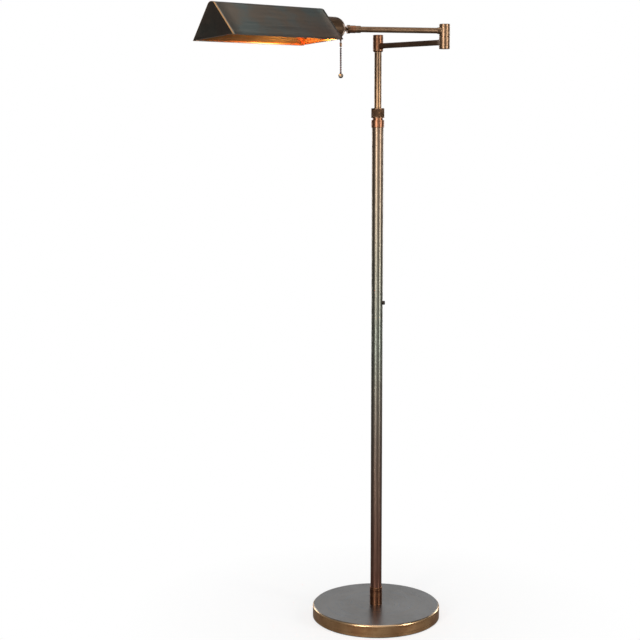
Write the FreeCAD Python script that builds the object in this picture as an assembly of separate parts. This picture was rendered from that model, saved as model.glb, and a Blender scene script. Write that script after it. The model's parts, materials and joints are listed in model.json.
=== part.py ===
import FreeCAD, Part
import math
import os

# Swing-arm pharmacy floor lamp. Millimetres, +Z up. The origin is the centre of the base's underside.
# The shade's long axis lies along X and its free end points to -X.

V = FreeCAD.Vector
X, Z = V(1, 0, 0), V(0, 0, 1)

# ---- Driving dimensions -------------------------------------------------------------------------

# Base
BASE_R = 125.0
BASE_H = 26.0
PAD_T = 2.0
PAD_INSET = 2.5
PLATE_T = 1.0
COVER_WALL = 1.5
COVER_EDGE = 2.5
NIPPLE_R = 5.0
NIPPLE_BORE_R = 3.6
NUT_RECESS_R = 22.0
NUT_RECESS_TOP = 15.0
WASHER_T = 1.5
WASHER_R = 14.0
NUT_T = 5.0
BASE_NUT_AF = 17.0
INLET_Z = 11.0
INLET_AZ = 45.0
INLET_BORE_R = 3.2
INLET_BODY_R = 5.4
INLET_FLANGE_R = 7.2
INLET_FLANGE_T = 1.4
INLET_INSIDE = 3.0
INLET_SLOT_W = 16.0
INLET_SLOT_TOP = 19.5

# Pole
POLE_R = 11.0
POLE_WALL = 1.2
POLE_SPLIT_Z = 600.0
POLE_TOP_Z = 969.0
FERRULE_WALL = 1.3
FERRULE_R = POLE_R + FERRULE_WALL
FERRULE_H = 35.0
FERRULE_RING_H = 3.4
FERRULE_GROOVE = 0.5
FOOT_PLUG_H = 24.0
NIPPLE_ABOVE = 18.0
COUPLING_HALF = 50.0
COUPLING_WALL = 1.8
COUPLING_BORE_R = POLE_R - POLE_WALL - COUPLING_WALL
SCREW_Z = 627.0
SCREW_AZ = -45.0
SCREW_R = 2.0
SCREW_HEAD_R = 3.8
SCREW_HEAD_T = 4.2
CORD_R = 3.2
CORD_TOP_Z = 930.0

# Height lock at the top of the pole
COLLAR_PROUD = 1.2
COLLAR_R = POLE_R + COLLAR_PROUD
COLLAR_SKIRT = 8.0
COLLAR_H = 14.3
COLLAR_NECK_IN = 1.25
COLLAR_NECK_R = POLE_R - COLLAR_NECK_IN
NECK_ABOVE = 15.7
SPIGOT_H = 20.0
LOCK_PROUD = 1.6
LOCK_R = POLE_R + LOCK_PROUD
LOCK_GAP = 3.7
LOCK_H = 18.3
COLLET_HEAD_IN = 1.8
COLLET_HEAD_R = POLE_R - COLLET_HEAD_IN
COLLET_HEAD_H = 2.7
COLLET_DEPTH = 36.0
COLLET_SLIT = 1.2

# Sliding stem
STEM_IN = 4.2
STEM_R = POLE_R - STEM_IN
STEM_WALL = 1.2
STEM_BOTTOM_Z = 765.0
STEM_TOP_Z = 1101.4
GUIDE_H = 15.0

# Swing arms
ARM_REACH = 180.0
ARM_R = 5.0
ARM_WALL = 1.0
LOWER_ARM_Z = 1112.5
UPPER_ARM_Z = 1132.5
LOWER_ARM_AZ = -95.0
UPPER_ARM_AZ = 153.5
SOCKET_DEPTH = 4.2
FLARE_R = 6.7
FLARE_L = 4.5

# Shoulder and elbow pivots
PIVOT_R = 9.6
SPINDLE_IN = 5.6
SPINDLE_R = PIVOT_R - SPINDLE_IN
SPINDLE_WALL = 1.6
SPINDLE_BORE_R = SPINDLE_R - SPINDLE_WALL
SPINDLE_PLUG_H = 16.0
PIVOT_FLANGE_H = 3.5
PIVOT_CHAMFER = 2.0
THRUST_T = 0.7
THRUST_IN = 0.6
THRUST_R = PIVOT_R - THRUST_IN
KNUCKLE_BELOW = 6.15
CAP_H = 5.7
CAP_WALL = 1.8
CAP_CAVITY_R = PIVOT_R - CAP_WALL
CAP_TOP_T = 1.3
CAP_EDGE = 0.9
PIVOT_NUT_IN = 3.6
PIVOT_NUT_AF = 2 * (PIVOT_R - PIVOT_NUT_IN)
PIVOT_NUT_T = 3.2
HEAD_IN = 3.2
HEAD_R = PIVOT_R - HEAD_IN
HEAD_T = 2.6
PIVOT_BARREL_TOP_Z = 1127.2

# Ball swivel at the end of the upper arm
BALL_R = 5.0
NECK_R = 2.2
BALL_BORE_R = 1.2
SEAT_R = 5.7
SEAT_BACK = 8.2
HOUSING_R = 6.6
HOUSING_BACK = 12.5
HOUSING_TUBE_DEPTH = 2.2
RETAINER_R = 7.4
RETAINER_FRONT = 3.0
RETAINER_BACK = 2.6
MOUTH_AT = 2.4
MOUTH_FLARE_R = 5.1
ARM_FERRULE_R = 6.15
ARM_FERRULE_L = 10.0

# Lampholder cup, measured along the shade's axis from the swivel's ball
CUP_CENTRE = 35.0
CUP_R = 19.8
CUP_WALL = 1.2
CUP_L = 28.5
BOSS_R = 7.5
BOSS_T = 2.8
STUD_NUT_AF = 8.5
STUD_NUT_T = 3.4
STUD_PAST_NUT = 0.8
SWITCH_R = 11.8
SWITCH_START = 11.5
SWITCH_L = 7.5
HOLDER_R = 13.8
HOLDER_BORE_R = 8.4
HOLDER_OUT = 15.5
HOLDER_FLANGE_T = 6.0
HOLDER_BACK_T = 6.0
SHELL_T = 0.5
SHADE_RING_R = 19.0
SHADE_RING_T = 5.0
CUP_SCREW_R = 1.5

# Shade
SHADE_L = 243.0
SHADE_W = 102.0
SHADE_H = 57.5
SHADE_RIDGE_R = 10.5
SHADE_SHEET = 0.8
SHADE_LIP = 4.0
RIM_BELOW_AXIS = 25.0
SHADE_ROLL = 4.0

# Light bulb with a small screw cap
BULB_CAP_R = 7.0
BULB_CAP_L = 22.0
BULB_R = 17.5
BULB_L = 78.0
BULB_GLASS_T = 1.0

# Pull switch
CHAIN_FROM_CUP_BACK = 4.8
CHAIN_BEHIND = CUP_R - CHAIN_FROM_CUP_BACK
CHAIN_GUIDE_R = 3.0
CHAIN_GUIDE_TOP = 8.0
CHAIN_GUIDE_SHORT = 1.3
CHAIN_GUIDE_BOTTOM = CUP_R - CHAIN_GUIDE_SHORT
CHAIN_GUIDE_LIP = 1.2
ROD_R = 1.5
ROD_HEAD_R = 2.1
ROD_HEAD_T = 1.5
ROD_BELOW_GUIDE = 3.5
ROD_BOTTOM = CHAIN_GUIDE_BOTTOM + ROD_BELOW_GUIDE
COUPLER_R = 2.1
COUPLER_TIP_R = 0.3
COUPLER_GAP = 0.2
COUPLER_L = 9.8
COUPLER_TOP = ROD_BOTTOM + COUPLER_GAP
COUPLER_BOTTOM = COUPLER_TOP + COUPLER_L
BEAD_R = 1.75
BEAD_PITCH = 3.9
LINK_R = 0.6
PULL_BALL_R = 4.4
PULL_BALL_BELOW = 80.2

# Clearances
RUN = 0.05
FIT = 0.05
SEAM = 0.1
LOOSE = 0.2

# ---- Places worked out from the driving dimensions ----------------------------------------------

PLATE_TOP_Z = PAD_T + PLATE_T
COVER_UNDER_Z = BASE_H - COVER_WALL
POLE_BORE_R = POLE_R - POLE_WALL
STEM_BORE_R = STEM_R - STEM_WALL
COLLAR_Z = POLE_TOP_Z - COLLAR_SKIRT
COLLAR_TOP_Z = COLLAR_Z + COLLAR_H
NECK_TOP_Z = COLLAR_TOP_Z + NECK_ABOVE
LOCK_Z = COLLAR_TOP_Z + LOCK_GAP
LOCK_TOP_Z = LOCK_Z + LOCK_H
STEM_HOLE_R = STEM_R + RUN
ELBOW_Z = (LOWER_ARM_Z + UPPER_ARM_Z) / 2
SPINDLE_HOLE_R = SPINDLE_R + RUN
BARREL_Z = STEM_TOP_Z + PIVOT_FLANGE_H + THRUST_T + 2 * RUN
KNUCKLE_SPLIT = THRUST_T / 2 + RUN
LOWER_KNUCKLE_Z = LOWER_ARM_Z - KNUCKLE_BELOW
UPPER_KNUCKLE_TOP_Z = UPPER_ARM_Z + KNUCKLE_BELOW
SOCKET_END = PIVOT_R - SOCKET_DEPTH
SEAT_BALL_R = BALL_R + RUN
STUD_R = NECK_R
CUP_BORE_R = CUP_R - CUP_WALL
STUD_NUT_CORNER_R = STUD_NUT_AF / 2 / math.cos(math.radians(30))
STUD_NUT_FRONT = CUP_CENTRE - math.sqrt(CUP_BORE_R ** 2 - STUD_NUT_CORNER_R ** 2) + SEAM
SHADE_START = CUP_CENTRE + CUP_L
SHADE_END = SHADE_START + SHADE_L
BULB_SEAT = SHADE_START + HOLDER_OUT - BULB_CAP_L + 2.0
CHAIN_X = CUP_CENTRE - CHAIN_BEHIND
CHAIN_TOP_Z = -(COUPLER_BOTTOM - COUPLER_TOP) - SEAM
CHAIN_END_Z = -(PULL_BALL_BELOW - COUPLER_TOP - PULL_BALL_R)


def polar(radius, azimuth, z=0.0):
    """The point at a radius and an azimuth in degrees about the pole's axis."""
    a = math.radians(azimuth)
    return V(radius * math.cos(a), radius * math.sin(a), z)


ELBOW = polar(ARM_REACH, LOWER_ARM_AZ, ELBOW_Z)
SWIVEL = polar(ARM_REACH, LOWER_ARM_AZ, UPPER_ARM_Z) + polar(ARM_REACH, UPPER_ARM_AZ)

LOWER_ARM = FreeCAD.Placement(V(0, 0, LOWER_ARM_Z), FreeCAD.Rotation(Z, LOWER_ARM_AZ))
LOWER_ARM_END = FreeCAD.Placement(V(ELBOW.x, ELBOW.y, LOWER_ARM_Z), FreeCAD.Rotation(Z, LOWER_ARM_AZ + 180))
UPPER_ARM = FreeCAD.Placement(V(ELBOW.x, ELBOW.y, UPPER_ARM_Z), FreeCAD.Rotation(Z, UPPER_ARM_AZ))
ELBOW_AXIS = FreeCAD.Placement(V(ELBOW.x, ELBOW.y, 0), FreeCAD.Rotation(Z, 0))
ARM_END = FreeCAD.Placement(SWIVEL, FreeCAD.Rotation(Z, UPPER_ARM_AZ))
HEAD = FreeCAD.Placement(SWIVEL, FreeCAD.Rotation(Z, 180) * FreeCAD.Rotation(X, SHADE_ROLL))


# ---- Shape helpers ------------------------------------------------------------------------------

def turned(points, axis=Z):
    """A solid turned about an axis through the local origin, from (along, radius) points."""
    corner = (lambda a, r: V(r, 0, a)) if axis == Z else (lambda a, r: V(a, 0, r))
    outline = [corner(a, r) for a, r in points]
    face = Part.Face(Part.makePolygon(outline + outline[:1]))
    return face.revolve(V(0, 0, 0), axis, 360)


def rod(radius, start, end, axis=Z):
    """A plain cylinder between two places along an axis through the local origin."""
    return Part.makeCylinder(radius, end - start, axis * start, axis)


def tube(outer, inner, start, end, axis=Z):
    """A plain tube between two places along an axis through the local origin."""
    return rod(outer, start, end, axis).cut(rod(inner, start - 1, end + 1, axis))


def ball(radius, centre=V(0, 0, 0)):
    """A full sphere."""
    return Part.makeSphere(radius, centre)


def hex_nut(across_flats, bore, start, end, axis=Z):
    """A hexagon nut with a plain bore."""
    corner_r = across_flats / 2 / math.cos(math.radians(30))
    ring = [V(corner_r * math.cos(math.radians(60 * i)), corner_r * math.sin(math.radians(60 * i)), start)
            for i in range(6)]
    body = Part.Face(Part.makePolygon(ring + ring[:1])).extrude(V(0, 0, end - start))
    body = body.cut(rod(bore, start - 1, end + 1))
    return body if axis == Z else body.rotate(V(0, 0, 0), V(0, 1, 0), 90)


def placed(shape, placement):
    """A copy of a shape moved from its own frame to its place on the lamp."""
    moved = shape.copy()
    moved.Placement = placement.multiply(moved.Placement)
    return moved


def bevelled(radius, start, end, bevel):
    """The (along, radius) outline of a disc with both of its outer edges bevelled."""
    return [(start, 0), (start, radius - bevel), (start + bevel, radius), (end - bevel, radius),
            (end, radius - bevel), (end, 0)]


# ---- Base ---------------------------------------------------------------------------------------

def inlet_axis(shape):
    """A shape built along X, turned to the cord inlet's direction and raised to its height."""
    return placed(shape, FreeCAD.Placement(V(0, 0, INLET_Z), FreeCAD.Rotation(Z, INLET_AZ)))


def base_pad():
    return rod(BASE_R - PAD_INSET, 0, PAD_T)


def base_plate():
    return rod(BASE_R - COVER_WALL - LOOSE, PAD_T, PLATE_TOP_Z)


def base_cover():
    edge_z = BASE_H - COVER_EDGE
    outer = turned([(PAD_T, 0), (PAD_T, BASE_R), (edge_z, BASE_R), (BASE_H, BASE_R - COVER_EDGE),
                    (BASE_H, 0)])
    outer = outer.makeFillet(COVER_EDGE * 0.8, [e for e in outer.Edges if abs(e.BoundBox.ZMin - edge_z) < 0.01
                                                and abs(e.BoundBox.ZMax - edge_z) < 0.01])
    inner_r = BASE_R - COVER_WALL
    inner = turned([(PAD_T - 1, 0), (PAD_T - 1, inner_r), (edge_z, inner_r),
                    (COVER_UNDER_Z, inner_r - COVER_EDGE + COVER_WALL), (COVER_UNDER_Z, 0)])
    cover = outer.cut(inner).cut(rod(NIPPLE_R + FIT, COVER_UNDER_Z - 1, BASE_H + 1))
    return cover.cut(inlet_axis(rod(INLET_BODY_R, BASE_R - 10, BASE_R + 5, X)))


def base_weight():
    radius = BASE_R - COVER_WALL - LOOSE
    disc = turned([(PLATE_TOP_Z, 0), (PLATE_TOP_Z, radius), (COVER_UNDER_Z - COVER_EDGE, radius),
                   (COVER_UNDER_Z, radius - COVER_EDGE), (COVER_UNDER_Z, 0)])
    recess = rod(NUT_RECESS_R, PLATE_TOP_Z - 1, NUT_RECESS_TOP)
    slot = Part.makeBox(BASE_R, INLET_SLOT_W, INLET_SLOT_TOP - PLATE_TOP_Z + 1,
                        V(0, -INLET_SLOT_W / 2, PLATE_TOP_Z - 1 - INLET_Z))
    slot = inlet_axis(slot.cut(rod(NUT_RECESS_R - 1, -BASE_H, BASE_H)))
    return disc.cut(recess).cut(slot).cut(rod(NIPPLE_R + FIT, 0, BASE_H))


def base_nipple():
    return tube(NIPPLE_R, NIPPLE_BORE_R, NUT_RECESS_TOP - WASHER_T - NUT_T - 1.5, BASE_H + NIPPLE_ABOVE)


def base_washer():
    return tube(WASHER_R, NIPPLE_R + FIT, NUT_RECESS_TOP - WASHER_T, NUT_RECESS_TOP)


def base_nut():
    top = NUT_RECESS_TOP - WASHER_T
    return hex_nut(BASE_NUT_AF, NIPPLE_R + FIT, top - NUT_T, top)


def cord_grommet():
    inside = BASE_R - COVER_WALL - INLET_INSIDE
    body = rod(INLET_BODY_R, inside, BASE_R, X)
    outer_flange = rod(INLET_FLANGE_R, BASE_R - COVER_WALL / 2, BASE_R + INLET_FLANGE_T, X)
    inner_flange = rod(INLET_FLANGE_R, inside, BASE_R - COVER_WALL / 2, X)
    whole = body.fuse([outer_flange, inner_flange])
    whole = inlet_axis(whole.cut(rod(INLET_BORE_R, inside - 1, BASE_R + INLET_FLANGE_T + 1, X)))
    return whole.cut(base_cover())


# ---- Pole ---------------------------------------------------------------------------------------

def pole_ferrule():
    top = BASE_H + FERRULE_H
    groove_z = top - FERRULE_RING_H
    groove_r = FERRULE_R - FERRULE_GROOVE
    bore = POLE_R + FIT
    return turned([(BASE_H, bore), (BASE_H, FERRULE_R), (groove_z - 1, FERRULE_R),
                   (groove_z - 1, groove_r), (groove_z, groove_r), (groove_z, FERRULE_R),
                   (top - 0.6, FERRULE_R), (top, FERRULE_R - 0.6), (top, bore)])


def pole_foot_plug():
    plug = rod(POLE_BORE_R - FIT, BASE_H, BASE_H + FOOT_PLUG_H)
    return plug.cut(rod(NIPPLE_R + FIT, BASE_H - 1, BASE_H + FOOT_PLUG_H + 1))


def screw_axis(shape):
    """A shape built along X, turned to the pole screw's direction and raised to its height."""
    return placed(shape, FreeCAD.Placement(V(0, 0, SCREW_Z), FreeCAD.Rotation(Z, SCREW_AZ)))


def screw_hole():
    return screw_axis(rod(SCREW_R + FIT, 0, POLE_R + 2, X))


def pole_lower():
    return tube(POLE_R, POLE_BORE_R, BASE_H, POLE_SPLIT_Z)


def pole_upper():
    return tube(POLE_R, POLE_BORE_R, POLE_SPLIT_Z, POLE_TOP_Z).cut(screw_hole())


def pole_coupling():
    start, end = POLE_SPLIT_Z - COUPLING_HALF, POLE_SPLIT_Z + COUPLING_HALF
    sleeve = tube(POLE_BORE_R - FIT, COUPLING_BORE_R, start, end)
    return sleeve.cut(screw_hole())


def pole_screw():
    end = POLE_R + SCREW_HEAD_T
    profile = [(COUPLING_BORE_R, 0), (COUPLING_BORE_R, SCREW_R), (POLE_R, SCREW_R), (POLE_R, SCREW_HEAD_R),
               (end - 0.8, SCREW_HEAD_R), (end, SCREW_HEAD_R - 1.2), (end, 0)]
    return screw_axis(turned(profile, X))


def pole_cord():
    return rod(CORD_R, NUT_RECESS_TOP - WASHER_T - NUT_T, CORD_TOP_Z)


# ---- Height lock --------------------------------------------------------------------------------

def collar_body():
    bore = STEM_R + 1.3
    spigot_r = POLE_BORE_R - FIT
    skirt_r = POLE_R + FIT
    return turned([(POLE_TOP_Z - SPIGOT_H, bore), (POLE_TOP_Z - SPIGOT_H, spigot_r), (POLE_TOP_Z, spigot_r),
                   (POLE_TOP_Z, skirt_r), (COLLAR_Z, skirt_r), (COLLAR_Z, COLLAR_R - 0.6),
                   (COLLAR_Z + 0.6, COLLAR_R), (COLLAR_TOP_Z - 0.8, COLLAR_R), (COLLAR_TOP_Z, COLLAR_R - 0.8),
                   (COLLAR_TOP_Z, COLLAR_NECK_R), (NECK_TOP_Z, COLLAR_NECK_R), (NECK_TOP_Z, bore)])


def collet():
    sleeve_r = STEM_R + 1.3 - FIT
    head_z = NECK_TOP_Z + SEAM
    sleeve = turned([(NECK_TOP_Z - COLLET_DEPTH, STEM_HOLE_R), (NECK_TOP_Z - COLLET_DEPTH, sleeve_r),
                     (head_z, sleeve_r), (head_z, COLLET_HEAD_R),
                     (head_z + COLLET_HEAD_H, COLLET_HEAD_R - 1.3), (head_z + COLLET_HEAD_H, STEM_HOLE_R)])
    slit = Part.makeBox(COLLET_HEAD_R + 1, COLLET_SLIT, COLLET_DEPTH * 0.6 + COLLET_HEAD_H,
                        V(0, -COLLET_SLIT / 2, NECK_TOP_Z - COLLET_DEPTH * 0.6 + COLLET_HEAD_H))
    return sleeve.cut(slit)


def lock_collar():
    bore = COLLAR_NECK_R + RUN
    cone_z = NECK_TOP_Z + SEAM + LOOSE
    cone_top = cone_z + COLLET_HEAD_H
    cone_top_r = COLLET_HEAD_R - 1.3 + LOOSE
    stem_r = STEM_R + LOOSE
    return turned([(LOCK_Z, bore), (LOCK_Z, LOCK_R - 0.7), (LOCK_Z + 0.7, LOCK_R),
                   (LOCK_TOP_Z - 0.7, LOCK_R), (LOCK_TOP_Z, LOCK_R - 0.7), (LOCK_TOP_Z, stem_r),
                   (cone_top, stem_r), (cone_top, cone_top_r), (cone_z, bore)])


# ---- Stem and shoulder pivot --------------------------------------------------------------------

def stem():
    return tube(STEM_R, STEM_BORE_R, STEM_BOTTOM_Z, STEM_TOP_Z)


def stem_guide():
    return tube(POLE_BORE_R - 2 * RUN, STEM_R + FIT, STEM_BOTTOM_Z, STEM_BOTTOM_Z + GUIDE_H)


def pivot_spindle():
    flange_z = STEM_TOP_Z + PIVOT_FLANGE_H
    top = PIVOT_BARREL_TOP_Z + PIVOT_NUT_T + 0.9
    spindle = turned([(STEM_TOP_Z - SPINDLE_PLUG_H, SPINDLE_BORE_R),
                      (STEM_TOP_Z - SPINDLE_PLUG_H, STEM_BORE_R - FIT), (STEM_TOP_Z, STEM_BORE_R - FIT),
                      (STEM_TOP_Z, PIVOT_R - PIVOT_CHAMFER), (STEM_TOP_Z + PIVOT_CHAMFER, PIVOT_R),
                      (flange_z, PIVOT_R), (flange_z, SPINDLE_R), (top, SPINDLE_R), (top, SPINDLE_BORE_R)])
    window = rod(SPINDLE_BORE_R - 0.4, 0, SPINDLE_R + 1, X)
    return spindle.cut(placed(window, LOWER_ARM))


def pivot_thrust_washer():
    start = STEM_TOP_Z + PIVOT_FLANGE_H + RUN
    return tube(THRUST_R, SPINDLE_HOLE_R, start, start + THRUST_T)


def pivot_body(bottom, top, arm_z, place):
    """A pivot barrel with a flared boss and a socket for an arm tube that leaves along its own +X."""
    low, high = bottom - arm_z, top - arm_z
    barrel = turned(bevelled(PIVOT_R, low, high, 0.3))
    flare_end = PIVOT_R + FLARE_L
    flare = turned([(PIVOT_R - 1.2, 0), (PIVOT_R - 1.2, FLARE_R), (PIVOT_R, FLARE_R - 0.6),
                    (PIVOT_R + 1.6, ARM_R + 0.8), (flare_end, ARM_R + 0.4), (flare_end, 0)], X)
    slab = Part.makeBox(4 * PIVOT_R, 4 * PIVOT_R, high - low, V(-2 * PIVOT_R, -2 * PIVOT_R, low))
    body = barrel.fuse(flare.common(slab))
    body = body.cut(rod(SPINDLE_HOLE_R, low - 1, high + 1))
    body = body.cut(rod(ARM_R + FIT, SOCKET_END, flare_end + 1, X))
    return placed(body.cut(rod(SPINDLE_BORE_R, 0, SOCKET_END + 1, X)), place)


def pivot_barrel():
    return pivot_body(BARREL_Z, PIVOT_BARREL_TOP_Z, LOWER_ARM_Z, LOWER_ARM)


def pivot_nut():
    start = PIVOT_BARREL_TOP_Z + SEAM
    return hex_nut(PIVOT_NUT_AF, SPINDLE_R + FIT, start, start + PIVOT_NUT_T)


def hollow_cap(seat_z, outward):
    """A turned cap over a pivot's nut or head. It stands on seat_z and closes upwards or downwards."""
    cap = turned([(0, CAP_CAVITY_R), (0, PIVOT_R), (CAP_H - CAP_EDGE, PIVOT_R), (CAP_H, PIVOT_R - CAP_EDGE),
                  (CAP_H, 0), (CAP_H - CAP_TOP_T, 0), (CAP_H - CAP_TOP_T, CAP_CAVITY_R)])
    if outward < 0:
        cap = cap.rotate(V(0, 0, 0), X, 180)
    return placed(cap, FreeCAD.Placement(V(0, 0, seat_z), FreeCAD.Rotation()))


def pivot_cap():
    return hollow_cap(PIVOT_BARREL_TOP_Z + SEAM, 1)


# ---- Arms and elbow -----------------------------------------------------------------------------

def lower_arm_tube():
    return placed(tube(ARM_R, ARM_R - ARM_WALL, SOCKET_END + FIT, ARM_REACH - SOCKET_END - FIT, X), LOWER_ARM)


def elbow_lower_knuckle():
    return pivot_body(LOWER_KNUCKLE_Z, ELBOW_Z - KNUCKLE_SPLIT, LOWER_ARM_Z, LOWER_ARM_END)


def elbow_upper_knuckle():
    return pivot_body(ELBOW_Z + KNUCKLE_SPLIT, UPPER_KNUCKLE_TOP_Z, UPPER_ARM_Z, UPPER_ARM)


def elbow_thrust_washer():
    washer = tube(THRUST_R, SPINDLE_HOLE_R, ELBOW_Z - THRUST_T / 2, ELBOW_Z + THRUST_T / 2)
    return placed(washer, ELBOW_AXIS)


def elbow_spindle():
    head_top = LOWER_KNUCKLE_Z - FIT
    top = UPPER_KNUCKLE_TOP_Z + PIVOT_NUT_T + 0.8
    spindle = turned([(head_top - HEAD_T, SPINDLE_BORE_R), (head_top - HEAD_T, HEAD_R), (head_top, HEAD_R),
                      (head_top, SPINDLE_R), (top, SPINDLE_R), (top, SPINDLE_BORE_R)])
    return placed(spindle, ELBOW_AXIS)


def elbow_bottom_cap():
    return placed(hollow_cap(LOWER_KNUCKLE_Z - SEAM, -1), ELBOW_AXIS)


def elbow_nut():
    start = UPPER_KNUCKLE_TOP_Z + SEAM
    return placed(hex_nut(PIVOT_NUT_AF, SPINDLE_R + FIT, start, start + PIVOT_NUT_T), ELBOW_AXIS)


def elbow_top_cap():
    return placed(hollow_cap(UPPER_KNUCKLE_TOP_Z + SEAM, 1), ELBOW_AXIS)


def upper_arm_tube():
    end = ARM_REACH - HOUSING_BACK + HOUSING_TUBE_DEPTH - FIT
    return placed(tube(ARM_R, ARM_R - ARM_WALL, SOCKET_END + FIT, end, X), UPPER_ARM)


# ---- Ball swivel. In the arm's frame the ball is at 0 and the head is towards +X ----------------

def arm_ferrule():
    start, end = -HOUSING_BACK - ARM_FERRULE_L, -HOUSING_BACK
    bore = ARM_R + FIT
    return placed(turned([(start, bore), (start, ARM_FERRULE_R - 0.6), (start + 0.6, ARM_FERRULE_R),
                          (end, ARM_FERRULE_R), (end, bore)], X), ARM_END)


def swivel_housing():
    tube_end = -HOUSING_BACK + HOUSING_TUBE_DEPTH
    seat_end = -SEAT_BACK - RUN
    front = -SEAM
    return placed(turned([(-HOUSING_BACK, ARM_R + FIT), (-HOUSING_BACK, HOUSING_R), (front, HOUSING_R),
                          (front, SEAT_R + RUN), (seat_end, SEAT_R + RUN), (seat_end, 2.2), (tube_end, 2.2),
                          (tube_end, ARM_R + FIT)], X), ARM_END)


def swivel_retainer():
    body = turned([(-RETAINER_BACK, HOUSING_R + FIT), (-RETAINER_BACK, RETAINER_R - 0.4),
                   (-RETAINER_BACK + 0.4, RETAINER_R), (RETAINER_FRONT - 0.8, RETAINER_R),
                   (RETAINER_FRONT, RETAINER_R - 0.8), (RETAINER_FRONT, 0), (0, 0), (0, HOUSING_R + FIT)], X)
    mouth_r = math.sqrt(SEAT_BALL_R ** 2 - MOUTH_AT ** 2)
    flare = turned([(MOUTH_AT - 0.2, 0), (MOUTH_AT - 0.2, mouth_r),
                    (RETAINER_FRONT + 0.1, MOUTH_FLARE_R + 0.1), (RETAINER_FRONT + 0.1, 0)], X)
    return placed(body.cut(ball(SEAT_BALL_R)).cut(flare), ARM_END)


def swivel_seat():
    seat = rod(SEAT_R, -SEAT_BACK, -SEAM, X).cut(ball(SEAT_BALL_R))
    return placed(seat.cut(rod(2.0, -SEAT_BACK - 1, 0, X)), ARM_END)


def swivel_ball():
    end = STUD_NUT_FRONT + STUD_NUT_T + STUD_PAST_NUT
    whole = ball(BALL_R).fuse(rod(NECK_R, 0, end, X))
    return placed(whole.cut(rod(BALL_BORE_R, -BALL_R - 1, end + 1, X)), HEAD)


def stud_nut():
    nut = hex_nut(STUD_NUT_AF, STUD_R + FIT, STUD_NUT_FRONT, STUD_NUT_FRONT + STUD_NUT_T, X)
    return placed(nut, HEAD)


# ---- Lampholder cup. In the head's frame +X runs from the ball to the shade's free end ----------

def cup_boss():
    front = CUP_CENTRE - CUP_R - BOSS_T
    back = CUP_CENTRE - math.sqrt(CUP_R ** 2 - BOSS_R ** 2) + 1.0
    boss = turned([(front, 0), (front, BOSS_R - 0.7), (front + 0.7, BOSS_R), (back, BOSS_R), (back, 0)], X)
    return placed(boss.cut(ball(CUP_R, V(CUP_CENTRE, 0, 0))).cut(rod(STUD_R + RUN, 0, CUP_CENTRE, X)), HEAD)


def chain_guide_rod(radius):
    """The straight hole or body of the chain guide, hanging below the cup's axis."""
    return Part.makeCylinder(radius, CHAIN_GUIDE_BOTTOM - CHAIN_GUIDE_TOP, V(CHAIN_X, 0, -CHAIN_GUIDE_BOTTOM))


def socket_cup():
    outer = ball(CUP_R, V(CUP_CENTRE, 0, 0)).common(rod(CUP_R + 1, CUP_CENTRE - CUP_R - 1, CUP_CENTRE, X))
    outer = outer.fuse(rod(CUP_R, CUP_CENTRE, SHADE_START, X))
    inner = ball(CUP_BORE_R, V(CUP_CENTRE, 0, 0)).fuse(rod(CUP_BORE_R, CUP_CENTRE, SHADE_START + 1, X))
    cup = outer.cut(inner).cut(rod(STUD_R + RUN, 0, CUP_CENTRE, X))
    cup = cup.cut(chain_guide_rod(CHAIN_GUIDE_R))
    return placed(cup.cut(cup_screw_rod()), HEAD)


def cup_screw_rod():
    x = SHADE_START - HOLDER_FLANGE_T / 2
    return Part.makeCylinder(CUP_SCREW_R + FIT, CUP_R, V(x, 0, CUP_BORE_R - 3.0), V(0, 0, 1))


def cup_screw():
    x = SHADE_START - HOLDER_FLANGE_T / 2
    shank = Part.makeCylinder(CUP_SCREW_R, 3.0 + CUP_WALL, V(x, 0, CUP_BORE_R - 3.0))
    head = Part.makeCylinder(CUP_SCREW_R * 1.7, 1.2, V(x, 0, CUP_R + FIT))
    return placed(shank.fuse(head).fuse(Part.makeCylinder(CUP_SCREW_R, 1.0, V(x, 0, CUP_R - 0.5))), HEAD)


def switch_body():
    start = CUP_CENTRE - SWITCH_START
    return placed(turned(bevelled(SWITCH_R, start, start + SWITCH_L, 0.8), X), HEAD)


def lampholder_body():
    start = CUP_CENTRE - SWITCH_START + SWITCH_L
    end = SHADE_START + HOLDER_OUT
    flange = SHADE_START - HOLDER_FLANGE_T
    body = turned([(start, 0), (start, HOLDER_R), (flange, HOLDER_R), (flange, CUP_BORE_R - LOOSE),
                   (SHADE_START, CUP_BORE_R - LOOSE), (SHADE_START, HOLDER_R), (end, HOLDER_R), (end, 0)], X)
    body = body.cut(rod(HOLDER_BORE_R, BULB_SEAT - HOLDER_BACK_T, end + 1, X))
    return placed(body.cut(cup_screw_rod()), HEAD)


def lampholder_shell():
    outer = HOLDER_BORE_R - FIT
    return placed(tube(outer, outer - SHELL_T, BULB_SEAT + 1.0, SHADE_START + HOLDER_OUT - 1.5, X), HEAD)


def lampholder_contact():
    start = BULB_SEAT - HOLDER_BACK_T
    return placed(turned([(start, 0), (start, 3.0), (start + 1.0, 3.0), (BULB_SEAT - FIT, 1.6),
                          (BULB_SEAT - FIT, 0)], X), HEAD)


def shade_ring():
    start = SHADE_START + SHADE_SHEET + FIT
    end = start + SHADE_RING_T
    bore = HOLDER_R + FIT
    return placed(turned([(start, bore), (start, SHADE_RING_R), (end - 1.2, SHADE_RING_R),
                          (end, SHADE_RING_R - 1.2), (end, bore)], X), HEAD)


def chain_guide():
    guide = chain_guide_rod(CHAIN_GUIDE_R - FIT)
    lip_top = CHAIN_GUIDE_LIP - CHAIN_GUIDE_BOTTOM
    wide = Part.makeCylinder(ROD_HEAD_R + RUN, CHAIN_GUIDE_BOTTOM, V(CHAIN_X, 0, lip_top))
    narrow = Part.makeCylinder(ROD_R + RUN, CHAIN_GUIDE_BOTTOM, V(CHAIN_X, 0, -CHAIN_GUIDE_BOTTOM - 1))
    return placed(guide.cut(wide).cut(narrow), HEAD)


# ---- Bulb ---------------------------------------------------------------------------------------

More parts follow.
